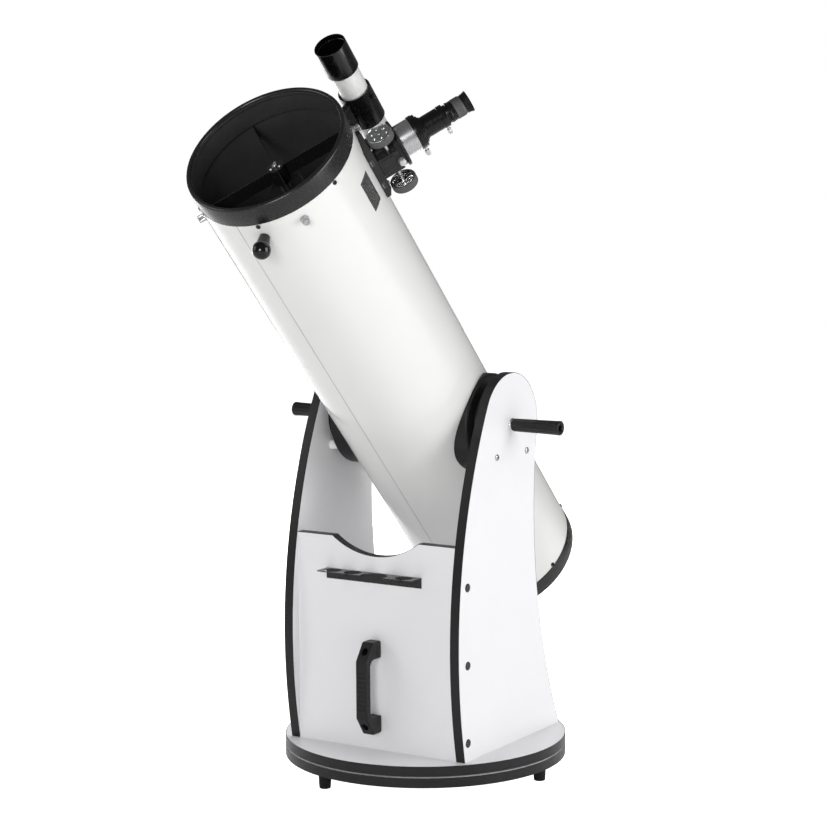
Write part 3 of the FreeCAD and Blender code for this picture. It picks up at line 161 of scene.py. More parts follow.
def blended(tree, factor, first, second):
    """A colour that runs from first to second."""
    item = tree.nodes.new("ShaderNodeMix")
    item.data_type = "RGBA"
    for socket, value in ((6, first), (7, second)):
        if isinstance(value, bpy.types.NodeSocket):
            tree.links.new(value, item.inputs[socket])
        else:
            item.inputs[socket].default_value = (*value, 1.0)
    tree.links.new(factor, item.inputs[0])
    return item.outputs[2]


def surface(name, colour, rough, metal=0.0, spread=0.06, shade=0.12, cloud=14.0, grain=700.0,
            bump=0.1, height=0.05, coat=0.0, coat_rough=0.1, stretch=(1, 1, 1), base=None,
            specks=0.0, speck_colour=(0.3, 0.3, 0.3), speck_scale=90.0, specular=0.5):
    """A solid finish: clouded colour, uneven gloss, fine relief and a few light scuffs."""
    look, tree, shader = node_tree(name)
    plain = coordinates(tree, (1, 1, 1))
    fine = coordinates(tree, stretch, base)
    dark = [c * (1.0 - shade) for c in colour]
    tint = blended(tree, ranged(tree, noise(tree, plain, cloud), 0.0, 1.0), dark, colour)
    if specks:
        scuff = ranged(tree, noise(tree, plain, speck_scale, 6.0, 0.7), 0.0, specks, 0.64, 0.74)
        tint = blended(tree, scuff, tint, speck_colour)
    tree.links.new(tint, shader.inputs["Base Color"])
    relief = noise(tree, fine, grain, 4.0, 0.6)
    gloss = ranged(tree, noise(tree, fine, grain / 6.0), rough - spread, rough + spread)
    tree.links.new(gloss, shader.inputs["Roughness"])
    ripple = tree.nodes.new("ShaderNodeBump")
    ripple.inputs["Strength"].default_value = bump
    ripple.inputs["Distance"].default_value = height * MM
    tree.links.new(relief, ripple.inputs["Height"])
    tree.links.new(ripple.outputs["Normal"], shader.inputs["Normal"])
    shader.inputs["Metallic"].default_value = metal
    shader.inputs["Specular IOR Level"].default_value = specular
    shader.inputs["Coat Weight"].default_value = coat
    shader.inputs["Coat Roughness"].default_value = coat_rough
    return look


def lens_glass(name, tint):
    """Coated optical glass: clear in the middle and tinted, with a painted sheen that lightens its colour at
    grazing angles.
    """
    look, tree, shader = node_tree(name)
    edge = tree.nodes.new("ShaderNodeLayerWeight")
    edge.inputs["Blend"].default_value = 0.35
    cloud = noise(tree, coordinates(tree, (1, 1, 1)), 60.0)
    deep = blended(tree, ranged(tree, cloud, 0.0, 1.0), [c * 0.8 for c in tint], tint)
    # Painted sheen: the base colour is lightened towards (0.10, 0.13, 0.16) at grazing angles.
    tree.links.new(blended(tree, edge.outputs["Facing"], deep, (0.10, 0.13, 0.16)),
                   shader.inputs["Base Color"])
    tree.links.new(ranged(tree, cloud, 0.03, 0.07), shader.inputs["Roughness"])
    shader.inputs["Coat Weight"].default_value = 1.0
    shader.inputs["Coat Roughness"].default_value = 0.02
    return look


TURNED = (30, 30, 0.6)
LAMINATE = surface("laminate", (0.80, 0.80, 0.815), 0.36, shade=0.025, cloud=5.0, grain=1100.0,
                   bump=0.16, specks=0.10, speck_colour=(0.66, 0.66, 0.67), speck_scale=30.0)
EDGING = surface("edging", (0.012, 0.012, 0.012), 0.36, shade=0.25, grain=900.0, bump=0.2,
                 specks=0.3, speck_colour=(0.035, 0.035, 0.035), speck_scale=55.0, specular=0.3)
ENAMEL = surface("enamel", (0.74, 0.74, 0.728), 0.2, spread=0.03, shade=0.02, cloud=3.0,
                 grain=420.0, bump=0.09, coat=0.5, coat_rough=0.07, specks=0.06,
                 speck_colour=(0.66, 0.66, 0.645), speck_scale=26.0)
SEAM = surface("seam", (0.33, 0.33, 0.33), 0.4, grain=600.0)
SATIN = surface("satin_black", (0.011, 0.011, 0.012), 0.27, spread=0.05, shade=0.12, grain=900.0,
                bump=0.04, specks=0.05, speck_colour=(0.02, 0.02, 0.02), specular=0.45)
FLAT = surface("flat_black", (0.05, 0.05, 0.052), 0.7, spread=0.1, shade=0.3, grain=1300.0,
               bump=0.35, specular=0.25)
MOULDED = surface("moulded_black", (0.009, 0.009, 0.0095), 0.42, shade=0.2, grain=1000.0,
                  bump=0.3, height=0.07, specks=0.2, speck_colour=(0.03, 0.03, 0.031),
                  specular=0.3)
GLOSS = surface("gloss_black", (0.003, 0.003, 0.0035), 0.12, spread=0.03, grain=500.0,
                bump=0.04, coat=0.2, coat_rough=0.04, specular=0.3)
RUBBER = surface("rubber", (0.004, 0.004, 0.0045), 0.62, spread=0.1, shade=0.3, grain=1300.0,
                 bump=0.4, height=0.08, specks=0.25, speck_colour=(0.03, 0.03, 0.031),
                 specular=0.25)
NYLON = surface("nylon", (0.80, 0.80, 0.77), 0.42, shade=0.05, grain=900.0, bump=0.15)
CHROME = surface("chrome", (0.80, 0.80, 0.81), 0.1, metal=1.0, spread=0.05, shade=0.06,
                 grain=500.0, bump=0.05, specks=0.3, speck_colour=(0.55, 0.55, 0.56))
NICKEL = surface("brushed_nickel", (0.62, 0.62, 0.62), 0.42, metal=0.6, spread=0.08,
                 shade=0.1, grain=900.0, bump=0.1)
STEEL = surface("steel", (0.56, 0.56, 0.57), 0.28, metal=1.0, spread=0.08, shade=0.15,
                grain=1200.0, bump=0.15)
SILVER = surface("turned_silver", (0.52, 0.52, 0.535), 0.3, metal=1.0, spread=0.09, shade=0.06,
                 grain=900.0, bump=0.14, stretch=TURNED, base=FOCUSER)
BLACK_TURNED = surface("turned_black", (0.003, 0.003, 0.0035), 0.28, spread=0.08, shade=0.2,
                       grain=900.0, bump=0.1, stretch=TURNED, base=FOCUSER, specular=0.3)
BLACK_FINDER = surface("finder_black", (0.0025, 0.0025, 0.003), 0.2, spread=0.05, shade=0.2,
                       grain=800.0, bump=0.06, stretch=TURNED, base=FINDER, specular=0.35,
                       coat=0.1)
BLACK_CAST = surface("cast_black", (0.011, 0.011, 0.0115), 0.36, spread=0.08, shade=0.25,
                     grain=1400.0, bump=0.25, height=0.06, specks=0.2,
                     speck_colour=(0.035, 0.035, 0.036), specular=0.35)
MIRROR = surface("mirror_coating", (0.9, 0.9, 0.91), 0.03, metal=1.0, spread=0.012, shade=0.02,
                 grain=300.0, bump=0.0, specks=0.12, speck_colour=(0.6, 0.6, 0.6))
GROUND_GLASS = surface("ground_glass", (0.42, 0.46, 0.45), 0.55, grain=1200.0, bump=0.3)
PLATE_INK = surface("plate_black", (0.055, 0.055, 0.056), 0.32, shade=0.3, grain=900.0, bump=0.2)
GREY_RUBBER = surface("grey_rubber", (0.075, 0.075, 0.075), 0.6, spread=0.1, shade=0.2,
                      grain=900.0, bump=0.35, height=0.08)
SILVER_FACE = surface("faced_silver", (0.36, 0.365, 0.375), 0.38, metal=0.85, spread=0.08,
                      shade=0.1, grain=1100.0, bump=0.12)
BLACK_BRACKET = surface("bracket_black", (0.005, 0.005, 0.0055), 0.24, spread=0.06, shade=0.2,
                        grain=900.0, bump=0.1, specular=0.35)
LENS = lens_glass("coated_glass", (0.012, 0.02, 0.03))


# ---------------------------------------------------------------- mesh work
def rounded(profile, closed):
    """Profile points (radius, height, fillet, outline) with their corners rounded."""
    points = [(*p, *(0.0, None)[len(p) - 2:]) for p in profile]
    last = len(points) - 1
    path = []
    for i, (r, z, fillet, outline) in enumerate(points):
        if not fillet or (not closed and i in (0, last)):
            path.append((r, z, outline))
            continue
        corner = Vector((r, z))
        before = Vector(points[i - 1][:2]) - corner
        after = Vector(points[(i + 1) % len(points)][:2]) - corner
        half = before.angle(after) / 2
        tangent = min(fillet / math.tan(half), 0.48 * before.length, 0.48 * after.length)
        radius = tangent * math.tan(half)
        middle = (before.normalized() + after.normalized()).normalized()
        centre = corner + middle * (radius / math.sin(half))
        first = corner + before.normalized() * tangent - centre
        final = corner + after.normalized() * tangent - centre
        start = math.atan2(first.y, first.x)
        sweep = math.remainder(math.atan2(final.y, final.x) - start, 2 * math.pi)
        steps = 5 if fillet > 1.5 else 3
        for k in range(steps + 1):
            angle = start + sweep * k / steps
            path.append((centre.x + radius * math.cos(angle),
                         centre.y + radius * math.sin(angle), outline))
    return path


def fluted(count, depth, sharpness=1.0):
    """Grooves round a grip: the share of the radius left at an angle."""
    return lambda t: 1.0 - depth * (0.5 - 0.5 * math.cos(count * t)) ** sharpness


def hexagon(t):
    """A hexagon about its inscribed circle."""
    return 1.0 / math.cos(math.remainder(t, math.pi / 3))


def cross(arm=0.3):
    """A cross recess whose arms reach the radius."""
    def outline(t):
        off = abs(math.remainder(t, math.pi / 2))
        if math.tan(off) < arm:
            return 1.0 / math.cos(off)
        return arm / math.sin(off)
    return outline


class Shape:
    """One piece's mesh, put together in millimetres."""

    def __init__(self):
        self.bm = bmesh.new()

    def turn(self, profile, base, closed=False, segments=72, tone=0, start=0.0, sweep=360.0):
        """Turn a profile about base's z axis."""
        path = rounded(profile, closed)
        full = sweep >= 360.0
        count = segments if full else segments + 1
        angles = [math.radians(start + sweep * k / segments) for k in range(count)]
        rings = []
        for r, z, outline in path:
            if r < 1e-6:
                rings.append([self.bm.verts.new(base @ (Vector((0, 0, z)) * MM))])
                continue
            ring = []
            for t in angles:
                reach = r * (outline(t) if outline else 1.0)
                place = Vector((reach * math.cos(t), reach * math.sin(t), z)) * MM
                ring.append(self.bm.verts.new(base @ place))
            rings.append(ring)
        pairs = list(zip(rings, rings[1:]))
        if closed:
            pairs.append((rings[-1], rings[0]))
        for lower, upper in pairs:
            self.strip(lower, upper, full, tone)
        if closed and not full:
            for end in (0, -1):
                face = self.bm.faces.new([ring[end] for ring in rings])
                face.material_index = tone
        return self

    def strip(self, lower, upper, full, tone):
        """Faces between two rings, either of which may be a single point."""
        size = max(len(lower), len(upper))
        if size == 1:
            return
        for k in range(size if full else size - 1):
            n = (k + 1) % size
            corners = []
            for ring, order in ((lower, (k, n)), (upper, (n, k))):
                corners += [ring[0]] if len(ring) == 1 else [ring[i] for i in order]
            self.bm.faces.new(corners).material_index = tone

    def bar(self, low, high, base, radius=0.5, tone=0, steps=2):
        """A rounded block between two corners."""
        centre = (Vector(low) + Vector(high)) / 2
        extent = Vector(high) - Vector(low)
        place = base @ Matrix.Translation(centre * MM) @ Matrix.Diagonal((*(extent * MM), 1.0))
        made = bmesh.ops.create_cube(self.bm, size=1.0, matrix=place)["verts"]
        for face in {f for v in made for f in v.link_faces}:
            face.material_index = tone
        edges = list({e for v in made for e in v.link_edges})
        bmesh.ops.bevel(self.bm, geom=edges, offset=radius * MM, segments=steps, profile=0.5,
                        affect="EDGES", clamp_overlap=True)
        return self

    def cad(self, node, width=0.6, steps=2, sharp=28.0):
        """The node's own shape with its sharp edges rounded."""
        self.bm.from_mesh(NODES[node].data)
        bm = self.bm
        bmesh.ops.remove_doubles(bm, verts=bm.verts, dist=1e-6)
        bmesh.ops.dissolve_limit(bm, angle_limit=math.radians(0.4), verts=bm.verts,
                                 edges=bm.edges)
        limit = math.radians(sharp)
        edges = [e for e in bm.edges if e.is_manifold and e.calc_face_angle() > limit]
        if width:
            bmesh.ops.bevel(bm, geom=edges, offset=width * MM, segments=steps, profile=0.5,
                            affect="EDGES", clamp_overlap=False)
        for face in bm.faces:
            face.material_index = 0
        return self

    def paint(self, test, tone):
        """Give the faces that pass the test another of the piece's materials."""
        for face in self.bm.faces:
            if test(face.calc_center_median(), face.normal):
                face.material_index = tone
        return self

    def done(self, name, node, *looks, replace=True, sharp=32.0, weighted=False):
        """Make the piece: it rides with the node's body and, if replace is set, the node is hidden."""
        bmesh.ops.recalc_face_normals(self.bm, faces=self.bm.faces)
        mesh = bpy.data.meshes.new(name)
        self.bm.to_mesh(mesh)
        self.bm.free()
        for look in looks:
            mesh.materials.append(look)
        mesh.shade_smooth()
        mesh.set_sharp_from_angle(angle=math.radians(sharp))
        obj = bpy.data.objects.new(name, mesh)
        scene.collection.objects.link(obj)
        if weighted:
            even = obj.modifiers.new("even", "WEIGHTED_NORMAL")
            even.keep_sharp = True
        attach(obj, HOME[node])
        if replace:
            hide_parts(node)
        return obj


def dress(node, *looks, width=0.6, steps=2, sharp=28.0, test=None):
    """A CAD node's own shape with eased edges and its finish."""
    shape = Shape().cad(node, width, steps, sharp)
    if test:
        shape.bm.normal_update()
        shape.paint(test, 1)
    return shape.done(node + "_shell", node, *looks, weighted=True)


def screw_top(shape, base, radius, height, socket="cross", segments=40, tone=0):
    """A domed screw head that stands on base's xy plane, with a recess in its top."""
    outline = cross() if socket == "cross" else hexagon
    reach = radius * (0.62 if socket == "cross" else 0.42)
    shape.turn(
        [
            (0.0, height * 0.35),
            (reach * 0.9, height * 0.4, 0.0, outline),
            (reach, height, 0.0, outline),
            (radius * 0.72, height, 0.3),
            (radius, height * 0.55, 0.4),
            (radius, 0.0),
        ],
        base, segments=segments, tone=tone)


# ----------------------------------------------------------- base and rocker
FOOT_ANGLE = -111.4
FOOT_CIRCLE = 230.6


def base_parts():
    dress("ground_board", LAMINATE, width=0.4)
    dress("rocker_deck", LAMINATE, width=0.4)
    dress("ground_board_band", EDGING, width=0.35)
    dress("rocker_deck_band", EDGING, width=0.35)
    dress("glide_pads", NYLON, width=0.5)
    low, high = levels("feet")
    feet = Shape()
    for k in range(3):
        place = turned(FLOOR, FOOT_ANGLE + 120.0 * k, reach=FOOT_CIRCLE)
        feet.turn(
            [
                (0.0, low + 6.0),
                (4.6, low + 5.2, 0.4),
                (5.2, low, 0.6),
                (10.5, low, 1.6),
                (11.2, low + 10.0, 0.5),
                (11.8, high - 9.0, 0.8),
                (12.9, high - 7.0, 0.8),
                (13.0, high),
                (0.0, high),
            ],
            place, segments=64)
    feet.done("rubber_feet", "feet", RUBBER)


def pivot():
    low, high = levels("pivot_bolt")
    bushing_low, bushing_high = levels("pivot_bushing")
    head_height = 6.4
    washer = high - 14.0
    bolt = Shape()
    bolt.turn([(0.0, low), (7.4, low, 0.3), (8.0, low + 0.8, 0.0, hexagon),
               (8.0, low + head_height, 0.0, hexagon), (5.0, low + head_height),
               (5.0, high - 1.0), (4.0, high), (0.0, high)], FLOOR, segments=48)
    bolt.turn([(5.0, washer), (15.0, washer, 0.5), (15.0, washer + 2.0, 0.5),
               (5.0, washer + 2.0)], FLOOR, closed=True)
    bolt.turn([(5.0, washer + 2.0), (8.0, washer + 2.0, 0.0, hexagon),
               (8.0, washer + 9.0, 0.0, hexagon), (7.0, washer + 10.0),
               (5.0, washer + 10.0)], FLOOR, closed=True, segments=48)
    for k in range(4):
        level = washer + 10.3 + 0.9 * k
        bolt.turn([(4.9, level), (5.25, level + 0.25), (4.9, level + 0.5)], FLOOR, closed=True,
                  segments=36)
    bolt.done("pivot_bolt_and_nut", "pivot_bolt", STEEL)
    bushing = Shape()
    bushing.turn([(5.1, bushing_low), (10.0, bushing_low), (10.0, bushing_high - 2.0),
                  (16.0, bushing_high - 2.0, 0.3), (16.0, bushing_high, 0.6),
                  (5.1, bushing_high, 0.4)], FLOOR, closed=True)
    bushing.done("nylon_bushing", "pivot_bushing", NYLON)


def rocker_boards():
    for node in ("side_board_right", "side_board_left", "front_panel"):
        dress(node, LAMINATE, width=0.35)
    dress("side_bands", EDGING, width=0.4)
    dress("front_panel_band", EDGING, width=0.4)
    dress("altitude_pads", NYLON, width=0.8, steps=3)
    dress("eyepiece_rack", SATIN, width=0.35)


PANEL_FACE = 169.0
SCREW_LINE = 157.9
SCREW_LEVELS = [107.9 + 142.0 * k for k in range(3)]
RACK_SCREW_X = (-62.0, 56.0)
RACK_SHEET = 1.5
HANDLE_INSET = 16.0
HANDLE_RECESS = 14.0
PAD_LINE = 54.05


def rocker_fasteners():
    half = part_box("side_board_right")[1].x / MM
    screws = Shape()
    for direction, side in (("+x", half), ("-x", -half)):
        for level in SCREW_LEVELS:
            place = facing(shifted(FLOOR, side, -SCREW_LINE, level), direction)
            screws.turn([(0.0, 0.9), (4.2, 1.0, 0.3), (4.8, 1.5, 0.3), (7.3, 1.4, 0.5),
                         (8.0, 0.5, 0.4), (8.0, 0.0)], place, segments=48)
            screws.turn([(0.0, 0.5), (2.0, 0.6, 0.0, hexagon), (2.2, 1.02, 0.0, hexagon),
                         (3.9, 1.02), (3.9, 0.6)], place, segments=36)
    rack_low, rack_high = levels("eyepiece_rack")
    for x in RACK_SCREW_X:
        place = shifted(FLOOR, x, -(PANEL_FACE + RACK_SHEET), (rack_low + rack_high) / 2)
        screw_top(screws, facing(place, "-y"), 4.0, 2.4)
    low, high = levels("front_handle")
    for level in (low + HANDLE_INSET, high - HANDLE_INSET):
        place = shifted(FLOOR, 0.0, -(PANEL_FACE + HANDLE_RECESS), level)
        screw_top(screws, facing(place, "-y"), 5.0, 2.6)
    screws.done("rocker_screw_heads", "rocker_screws", SATIN)

    bolts = Shape()
    level = PIVOT.z / MM - PAD_LINE
    for direction, side in (("+x", half), ("-x", -half)):
        for y in (-PAD_LINE, PAD_LINE):
            screw_top(bolts, facing(shifted(FLOOR, side, y, level), direction), 6.0, 3.0,
                      socket="hex")
    bolts.done("pad_bolt_heads", "pad_bolts", STEEL)


def pull_handle():
    """A moulded bow handle with finger ribs on its front and small ribs on its sides."""
    handle = Shape().cad("front_handle", width=2.2, steps=4)
    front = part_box("front_handle")[0].y / MM
    foot, head = levels("front_handle")
    middle = (foot + head) / 2 - 4.0
    side = 11.8
    rib_pitch = 8.6
    for k in range(9):
        level = middle + (k - 4) * rib_pitch
        handle.bar((-9.6, front - 0.9, level - 2.2), (9.6, front + 3.0, level + 2.2), FLOOR,
                   radius=1.3, steps=3)
        for x in (-side, side):
            handle.bar((x - 0.5, front + 5.0, level - 1.6), (x + 0.5, front + 10.0, level + 1.6),
                       FLOOR, radius=0.45)
    for z0, z1 in ((foot + 9.0, foot + 26.0), (head - 26.0, head - 9.0)):
        for x in (-side, side):
            handle.bar((x - 0.6, -(PANEL_FACE + 13.0), z0), (x + 0.6, -(PANEL_FACE + 3.0), z1),
                       FLOOR, radius=0.5)
    handle.done("pull_handle", "front_handle", MOULDED, weighted=True)


# --------------------------------------------------------------------- tube
RING_SCREW_ANGLE = -15.0
RING_SCREW_STATIONS = (669.0, -385.0)
SEAM_ANGLE = -91.0
SEAM_WIDTH = 0.42
NUT_STATION = 650.0
FRONT_RING_WIDTH = 37.6
REAR_RING_WIDTH = 34.8


def tube_and_rings():
    inner, outer, rear = span("tube_shell", TUBE)[:3]
    wall_middle = (inner + outer) / 2 * MM
    inverse = TUBE.inverted()

    def inside(centre, normal):
        place = inverse @ centre
        return math.hypot(place.x, place.y) < wall_middle

    dress("tube_shell", ENAMEL, FLAT, width=0.0, test=inside)
    ring_bore, ring_outer, ring_rear, ring_front = span("front_ring", TUBE)
    ring_front -= 0.1
    lower_front = span("rear_ring", TUBE)[3]

    seam = Shape()
    seam.turn([(outer - 0.2, lower_front), (outer + 0.22, lower_front),
               (outer + 0.22, ring_front - 30.0), (outer - 0.2, ring_front - 30.0)],
              TUBE, closed=True, segments=2, start=SEAM_ANGLE, sweep=SEAM_WIDTH)
    seam.done("tube_seam", "tube_shell", SEAM, replace=False)

    roll = 4.6
    skirt = inner - 4.8
    tube_end = ring_front - 7.0
    ring = Shape()
    ring.turn(
        [
            (ring_bore, ring_front, roll),
            (ring_outer, ring_front, roll),
            (ring_outer, ring_front - FRONT_RING_WIDTH, 0.6),
            (outer, ring_front - FRONT_RING_WIDTH),
            (outer, tube_end),
            (inner, tube_end),
            (inner, ring_rear),
            (skirt, ring_rear, 0.8),
            (skirt, ring_front - 12.0, 6.0),
            (ring_bore, ring_front - 9.0, 2.0),
        ],
        TUBE, closed=True, segments=240)
    ring.bm.normal_update()
    ring.paint(lambda centre, normal: inside(centre, normal)
               and (inverse @ centre).z < (ring_front - 5.0) * MM, 1)
    ring.done("front_ring_lip", "front_ring", SATIN, FLAT)

    flange, ring_outer, rear_face, skirt_front = span("rear_ring", TUBE)
    ease = 3.1
    flange_top = rear + 5.0
    rear_ring = Shape()
    rear_ring.turn(
        [
            (flange, rear, 0.8),
            (flange, flange_top, 0.8),
            (skirt, flange_top, 1.0),
            (skirt, skirt_front, 0.6),
            (inner, skirt_front),
            (inner, rear),
            (outer, rear),
            (outer, rear_face + REAR_RING_WIDTH),
            (ring_outer, rear_face + REAR_RING_WIDTH, 0.6),
            (ring_outer, rear_face + ease, 1.2),
            (ring_outer - ease, rear_face, 1.2),
            (skirt + 1.0, rear_face, 1.8),
            (skirt + 1.0, rear, 0.8),
        ],
        TUBE, closed=True, segments=240)
    rear_ring.done("rear_ring_lip", "rear_ring", SATIN)

    heads = Shape()
    for station in RING_SCREW_STATIONS:
        for k in range(6):
            place = turned(TUBE, RING_SCREW_ANGLE + 60.0 * k, station, outer)
            screw_top(heads, facing(place, "+x"), 4.0, 2.4)
    heads.done("ring_screw_heads", "ring_screws", SATIN)


def altitude_gear():
    for side, turn in (("right", 0.0), ("left", 180.0)):
        dress("altitude_bearing_" + side, MOULDED, width=1.6, steps=4)
        base = facing(turned(TUBE, turn), "+x")
        low, high = span("tension_rod_" + side, base)[2:]
        washer = span("tension_rod_" + side, base)[1]
        root = span("tension_handle_" + side, base)[2]
        rod = Shape()
        rod.turn([(0.0, low), (4.6, low, 0.3), (5.0, low + 0.6), (5.0, root - 3.7),
                  (washer, root - 3.7, 0.5), (washer, root - 1.9, 0.5), (washer - 1.6, root - 1.7),
                  (washer - 1.2, root, 0.5), (5.0, root), (5.0, high), (0.0, high)],
                 base, segments=64)
        rod.done("tension_rod_chrome_" + side, "tension_rod_" + side, CHROME)
        end_radius, low, high = span("tension_handle_" + side, base)[1:]
        flutes = fluted(12, 0.085, 1.6)
        star = fluted(6, 0.3, 0.8)
        root_radius = 11.7
        grip = Shape()
        grip.turn(
            [
                (5.0, low),
                (root_radius - 1.8, low, 0.8),
                (root_radius, low + 2.2),
                (root_radius + 0.05, low + 4.0, 0.0, flutes),
                (end_radius - 0.35, high - 8.0, 0.0, flutes),
                (end_radius, high - 5.0),
                (end_radius, high, 1.4),
                (8.4, high, 0.5),
                (8.0, high - 1.5, 0.0, star),
                (7.4, high - 22.0, 0.0, star),
                (0.0, high - 22.0),
            ],
            base, segments=144)
        grip.done("tension_grip_" + side, "tension_handle_" + side, MOULDED)


def spider_and_secondary():
    dress("spider", SATIN, width=0.25)
    outer = span("tube_shell", TUBE)[1]
    nuts = Shape()
    knurl = fluted(36, 0.07)
    for k in range(4):
        base = facing(turned(TUBE, 45.0 + 90.0 * k, NUT_STATION, outer), "+x")
        nuts.turn([(7.6, 0.0), (7.6, 1.2, 0.3), (6.4, 1.3), (6.5, 1.6, 0.0, knurl),
                   (6.5, 10.9, 0.0, knurl), (5.6, 12.0), (3.2, 12.0), (2.9, 11.0), (0.0, 11.0)],
                  base, segments=144)
    nuts.done("knurled_nuts", "spider_nuts", SILVER)

    dress("secondary_holder", MOULDED, width=0.8)
    dress("secondary_mirror", MIRROR, width=0.3)
    low, high = span("secondary_screws", TUBE)[2:]
    hub_front = NUT_STATION + 17.0
    screws = Shape()
    screws.turn([(0.0, low), (2.5, low), (2.5, hub_front), (5.0, hub_front, 0.3),
                 (5.0, high, 0.8), (2.6, high, 0.2), (2.4, high - 2.6, 0.0, hexagon),
                 (0.0, high - 2.6)], TUBE, segments=48)
    for k in range(3):
        place = turned(TUBE, 120.0 * k, 0.0, 9.0)
        screws.turn([(0.0, low), (1.9, low), (1.9, hub_front - 34.0), (0.0, hub_front - 34.0)],
                    place, segments=24)
        screw_top(screws, shifted(place, z=hub_front), 3.1, 2.0, socket="hex")
    screws.done("secondary_bolt_and_adjusters", "secondary_screws", STEEL)


def main_mirror_and_cell():
    radius, low, high = span("primary_mirror", TUBE)[1:]
    sagitta = 3.2
    curve = [(radius - 1.5) * k / 12 for k in range(13)]
    dish = [(r, high - sagitta * (1.0 - (r / radius) ** 2)) for r in curve]
    mirror = Shape()
    mirror.turn([(0.0, low), (radius, low, 1.5), (radius, high, 1.0), *reversed(dish)],
                TUBE, segments=200)
    mirror.bm.normal_update()
    edge = (high - sagitta - 2.0) * MM
    inverse = TUBE.inverted()
    mirror.paint(lambda centre, normal: (inverse @ centre).z < edge, 1)
    mirror.turn([(2.0, high - sagitta + 0.15), (4.0, high - sagitta + 0.15),
                 (4.0, high - sagitta + 0.25), (2.0, high - sagitta + 0.25)],
                TUBE, closed=True, segments=48, tone=2)
    mirror.done("main_mirror", "primary_mirror", MIRROR, GROUND_GLASS, EDGING)
    dress("mirror_cell", BLACK_CAST, width=0.8)
    for k in range(3):
        node = "collimation_knob_%d" % (k + 1)
        base = facing(shifted(FLOOR, *(Vector(joint("cell_knob_turn_%d" % (k + 1))["pos_m"]) / MM))
                      @ TUBE.to_3x3().to_4x4(), "-z")
        radius, low, high = span(node, base)[1:]
        grips = fluted(10, 0.14, 1.3)
        knob = Shape()
        knob.turn([(3.0, low), (3.0, high - 15.7), (radius - 1.6, high - 15.7, 0.6),
                   (radius, high - 14.0, 0.0, grips), (radius, high - 2.6, 0.0, grips),
                   (radius - 2.2, high, 0.9), (4.4, high, 0.5), (4.0, high - 1.2, 0.3),
                   (0.0, high - 1.2)], base, segments=120)
        knob.done("collimation_grip_%d" % (k + 1), node, MOULDED)


GUIDE_ANGLE = -75.0
GUIDE_STATION = 643.5


def tube_furniture():
    base = facing(turned(TUBE, GUIDE_ANGLE, GUIDE_STATION), "+x")
    root, tip = span("guide_knob", base)[2:]
    ball = 16.0
    centre = tip - ball
    arc = [(ball * math.cos(a), centre + ball * math.sin(a))
           for a in (math.radians(-32.5 + 122.5 * k / 24) for k in range(25))]
    arc[-1] = (0.0, tip)
    knob = Shape()
    knob.turn([(0.0, root), (9.5, root), (9.5, root + 2.0, 0.8), (12.2, centre - 9.6, 1.5), *arc],
              base, segments=96)
    knob.done("guide_ball_knob", "guide_knob", GLOSS, sharp=60.0)

    plate = Shape().cad("name_plate", width=0.25)
    radius = span("name_plate", TUBE)[1]
    low, high = span("name_plate", TUBE)[2:]
    first, wide = 3.5, 12.7
    margin = 0.8
    under, over = radius - 0.1, radius + 0.12
    for start, sweep, z0, z1 in (
        (first + margin, wide - 2 * margin, low + 2.0, low + 2.6),
        (first + margin, wide - 2 * margin, high - 2.6, high - 2.0),
        (first + margin, 0.24, low + 2.0, high - 2.0),
        (first + wide - margin, 0.24, low + 2.0, high - 2.0),
    ):
        plate.turn([(under, z0), (over, z0), (over, z1), (under, z1)], TUBE, closed=True,
                   segments=12, tone=1, start=start, sweep=sweep)
    for k in range(6):
        foot, head = low + 7.0, high - 7.0 - 4.0 * (k % 3)
        plate.turn([(under, foot), (over, foot), (over, head), (under, head)], TUBE,
                   closed=True, segments=3, tone=1, start=first + 2.2 + 1.5 * k, sweep=0.4)
    plate.done("blank_name_plate", "name_plate", PLATE_INK, STEEL)


# ------------------------------------------------------------------ focuser
BODY_NEAR = -45.0
LOCK_LEVEL = 189.0
FOOT_SCREW_X = (-38.0, 38.0)
FOOT_SCREW_Y = (-32.0, 46.0)


def focuser_housing():
    dress("focuser_base", BLACK_CAST, width=1.3, steps=3)
    body = Shape().cad("focuser_body", width=1.0, steps=3)
    body.bar((BODY_NEAR - 0.9, -15.0, 157.0), (BODY_NEAR + 1.0, 18.0, 182.0), FOCUSER,
             radius=0.5, steps=3)
    for y, z in ((-10.0, 161.0), (-5.0, 174.0), (8.0, 163.0), (14.0, 178.0)):
        place = facing(shifted(FOCUSER, BODY_NEAR - 0.9, y, z), "-x")
        screw_top(body, place, 2.2, 0.9, socket="hex", tone=1)
    body.done("focuser_casting", "focuser_body", BLACK_CAST, SATIN, weighted=True)

    top = span("focuser_base", FOCUSER)[3]
    feet = Shape()
    for x in FOOT_SCREW_X:
        for y in FOOT_SCREW_Y:
            screw_top(feet, shifted(FOCUSER, x, y, top), 3.6, 2.6, socket="hex")
    feet.done("foot_screw_heads", "focuser_screws", STEEL)
    slots = Shape()
    for y in (-26.0, 26.0):
        slots.bar((-47.4, y - 7.5, 138.0), (-46.0, y + 7.5, 146.0), FOCUSER, radius=0.6)
        slots.bar((-47.7, y - 5.0, 140.5), (-46.8, y + 5.0, 141.6), FOCUSER, radius=0.3, tone=1)
    slots.done("base_edge_slots", "focuser_base", FLAT, STEEL, replace=False)


def thumb_grip(shape, base, stem, inner, head_start, head_end, radius):
    """A thin stem with a knurled grip on its outer end."""
    knurl = fluted(28, 0.09)
    shape.turn(
        [
            (0.0, inner),
            (stem, inner),
            (stem, head_start),
            (radius - 0.6, head_start),
            (radius, head_start + 0.6, 0.0, knurl),
            (radius, head_end - 2.4, 0.0, knurl),
            (radius * 0.8, head_end - 1.8, 0.3),
            (radius * 0.8, head_end, 0.5),
            (0.0, head_end),
        ],
        base, segments=112)


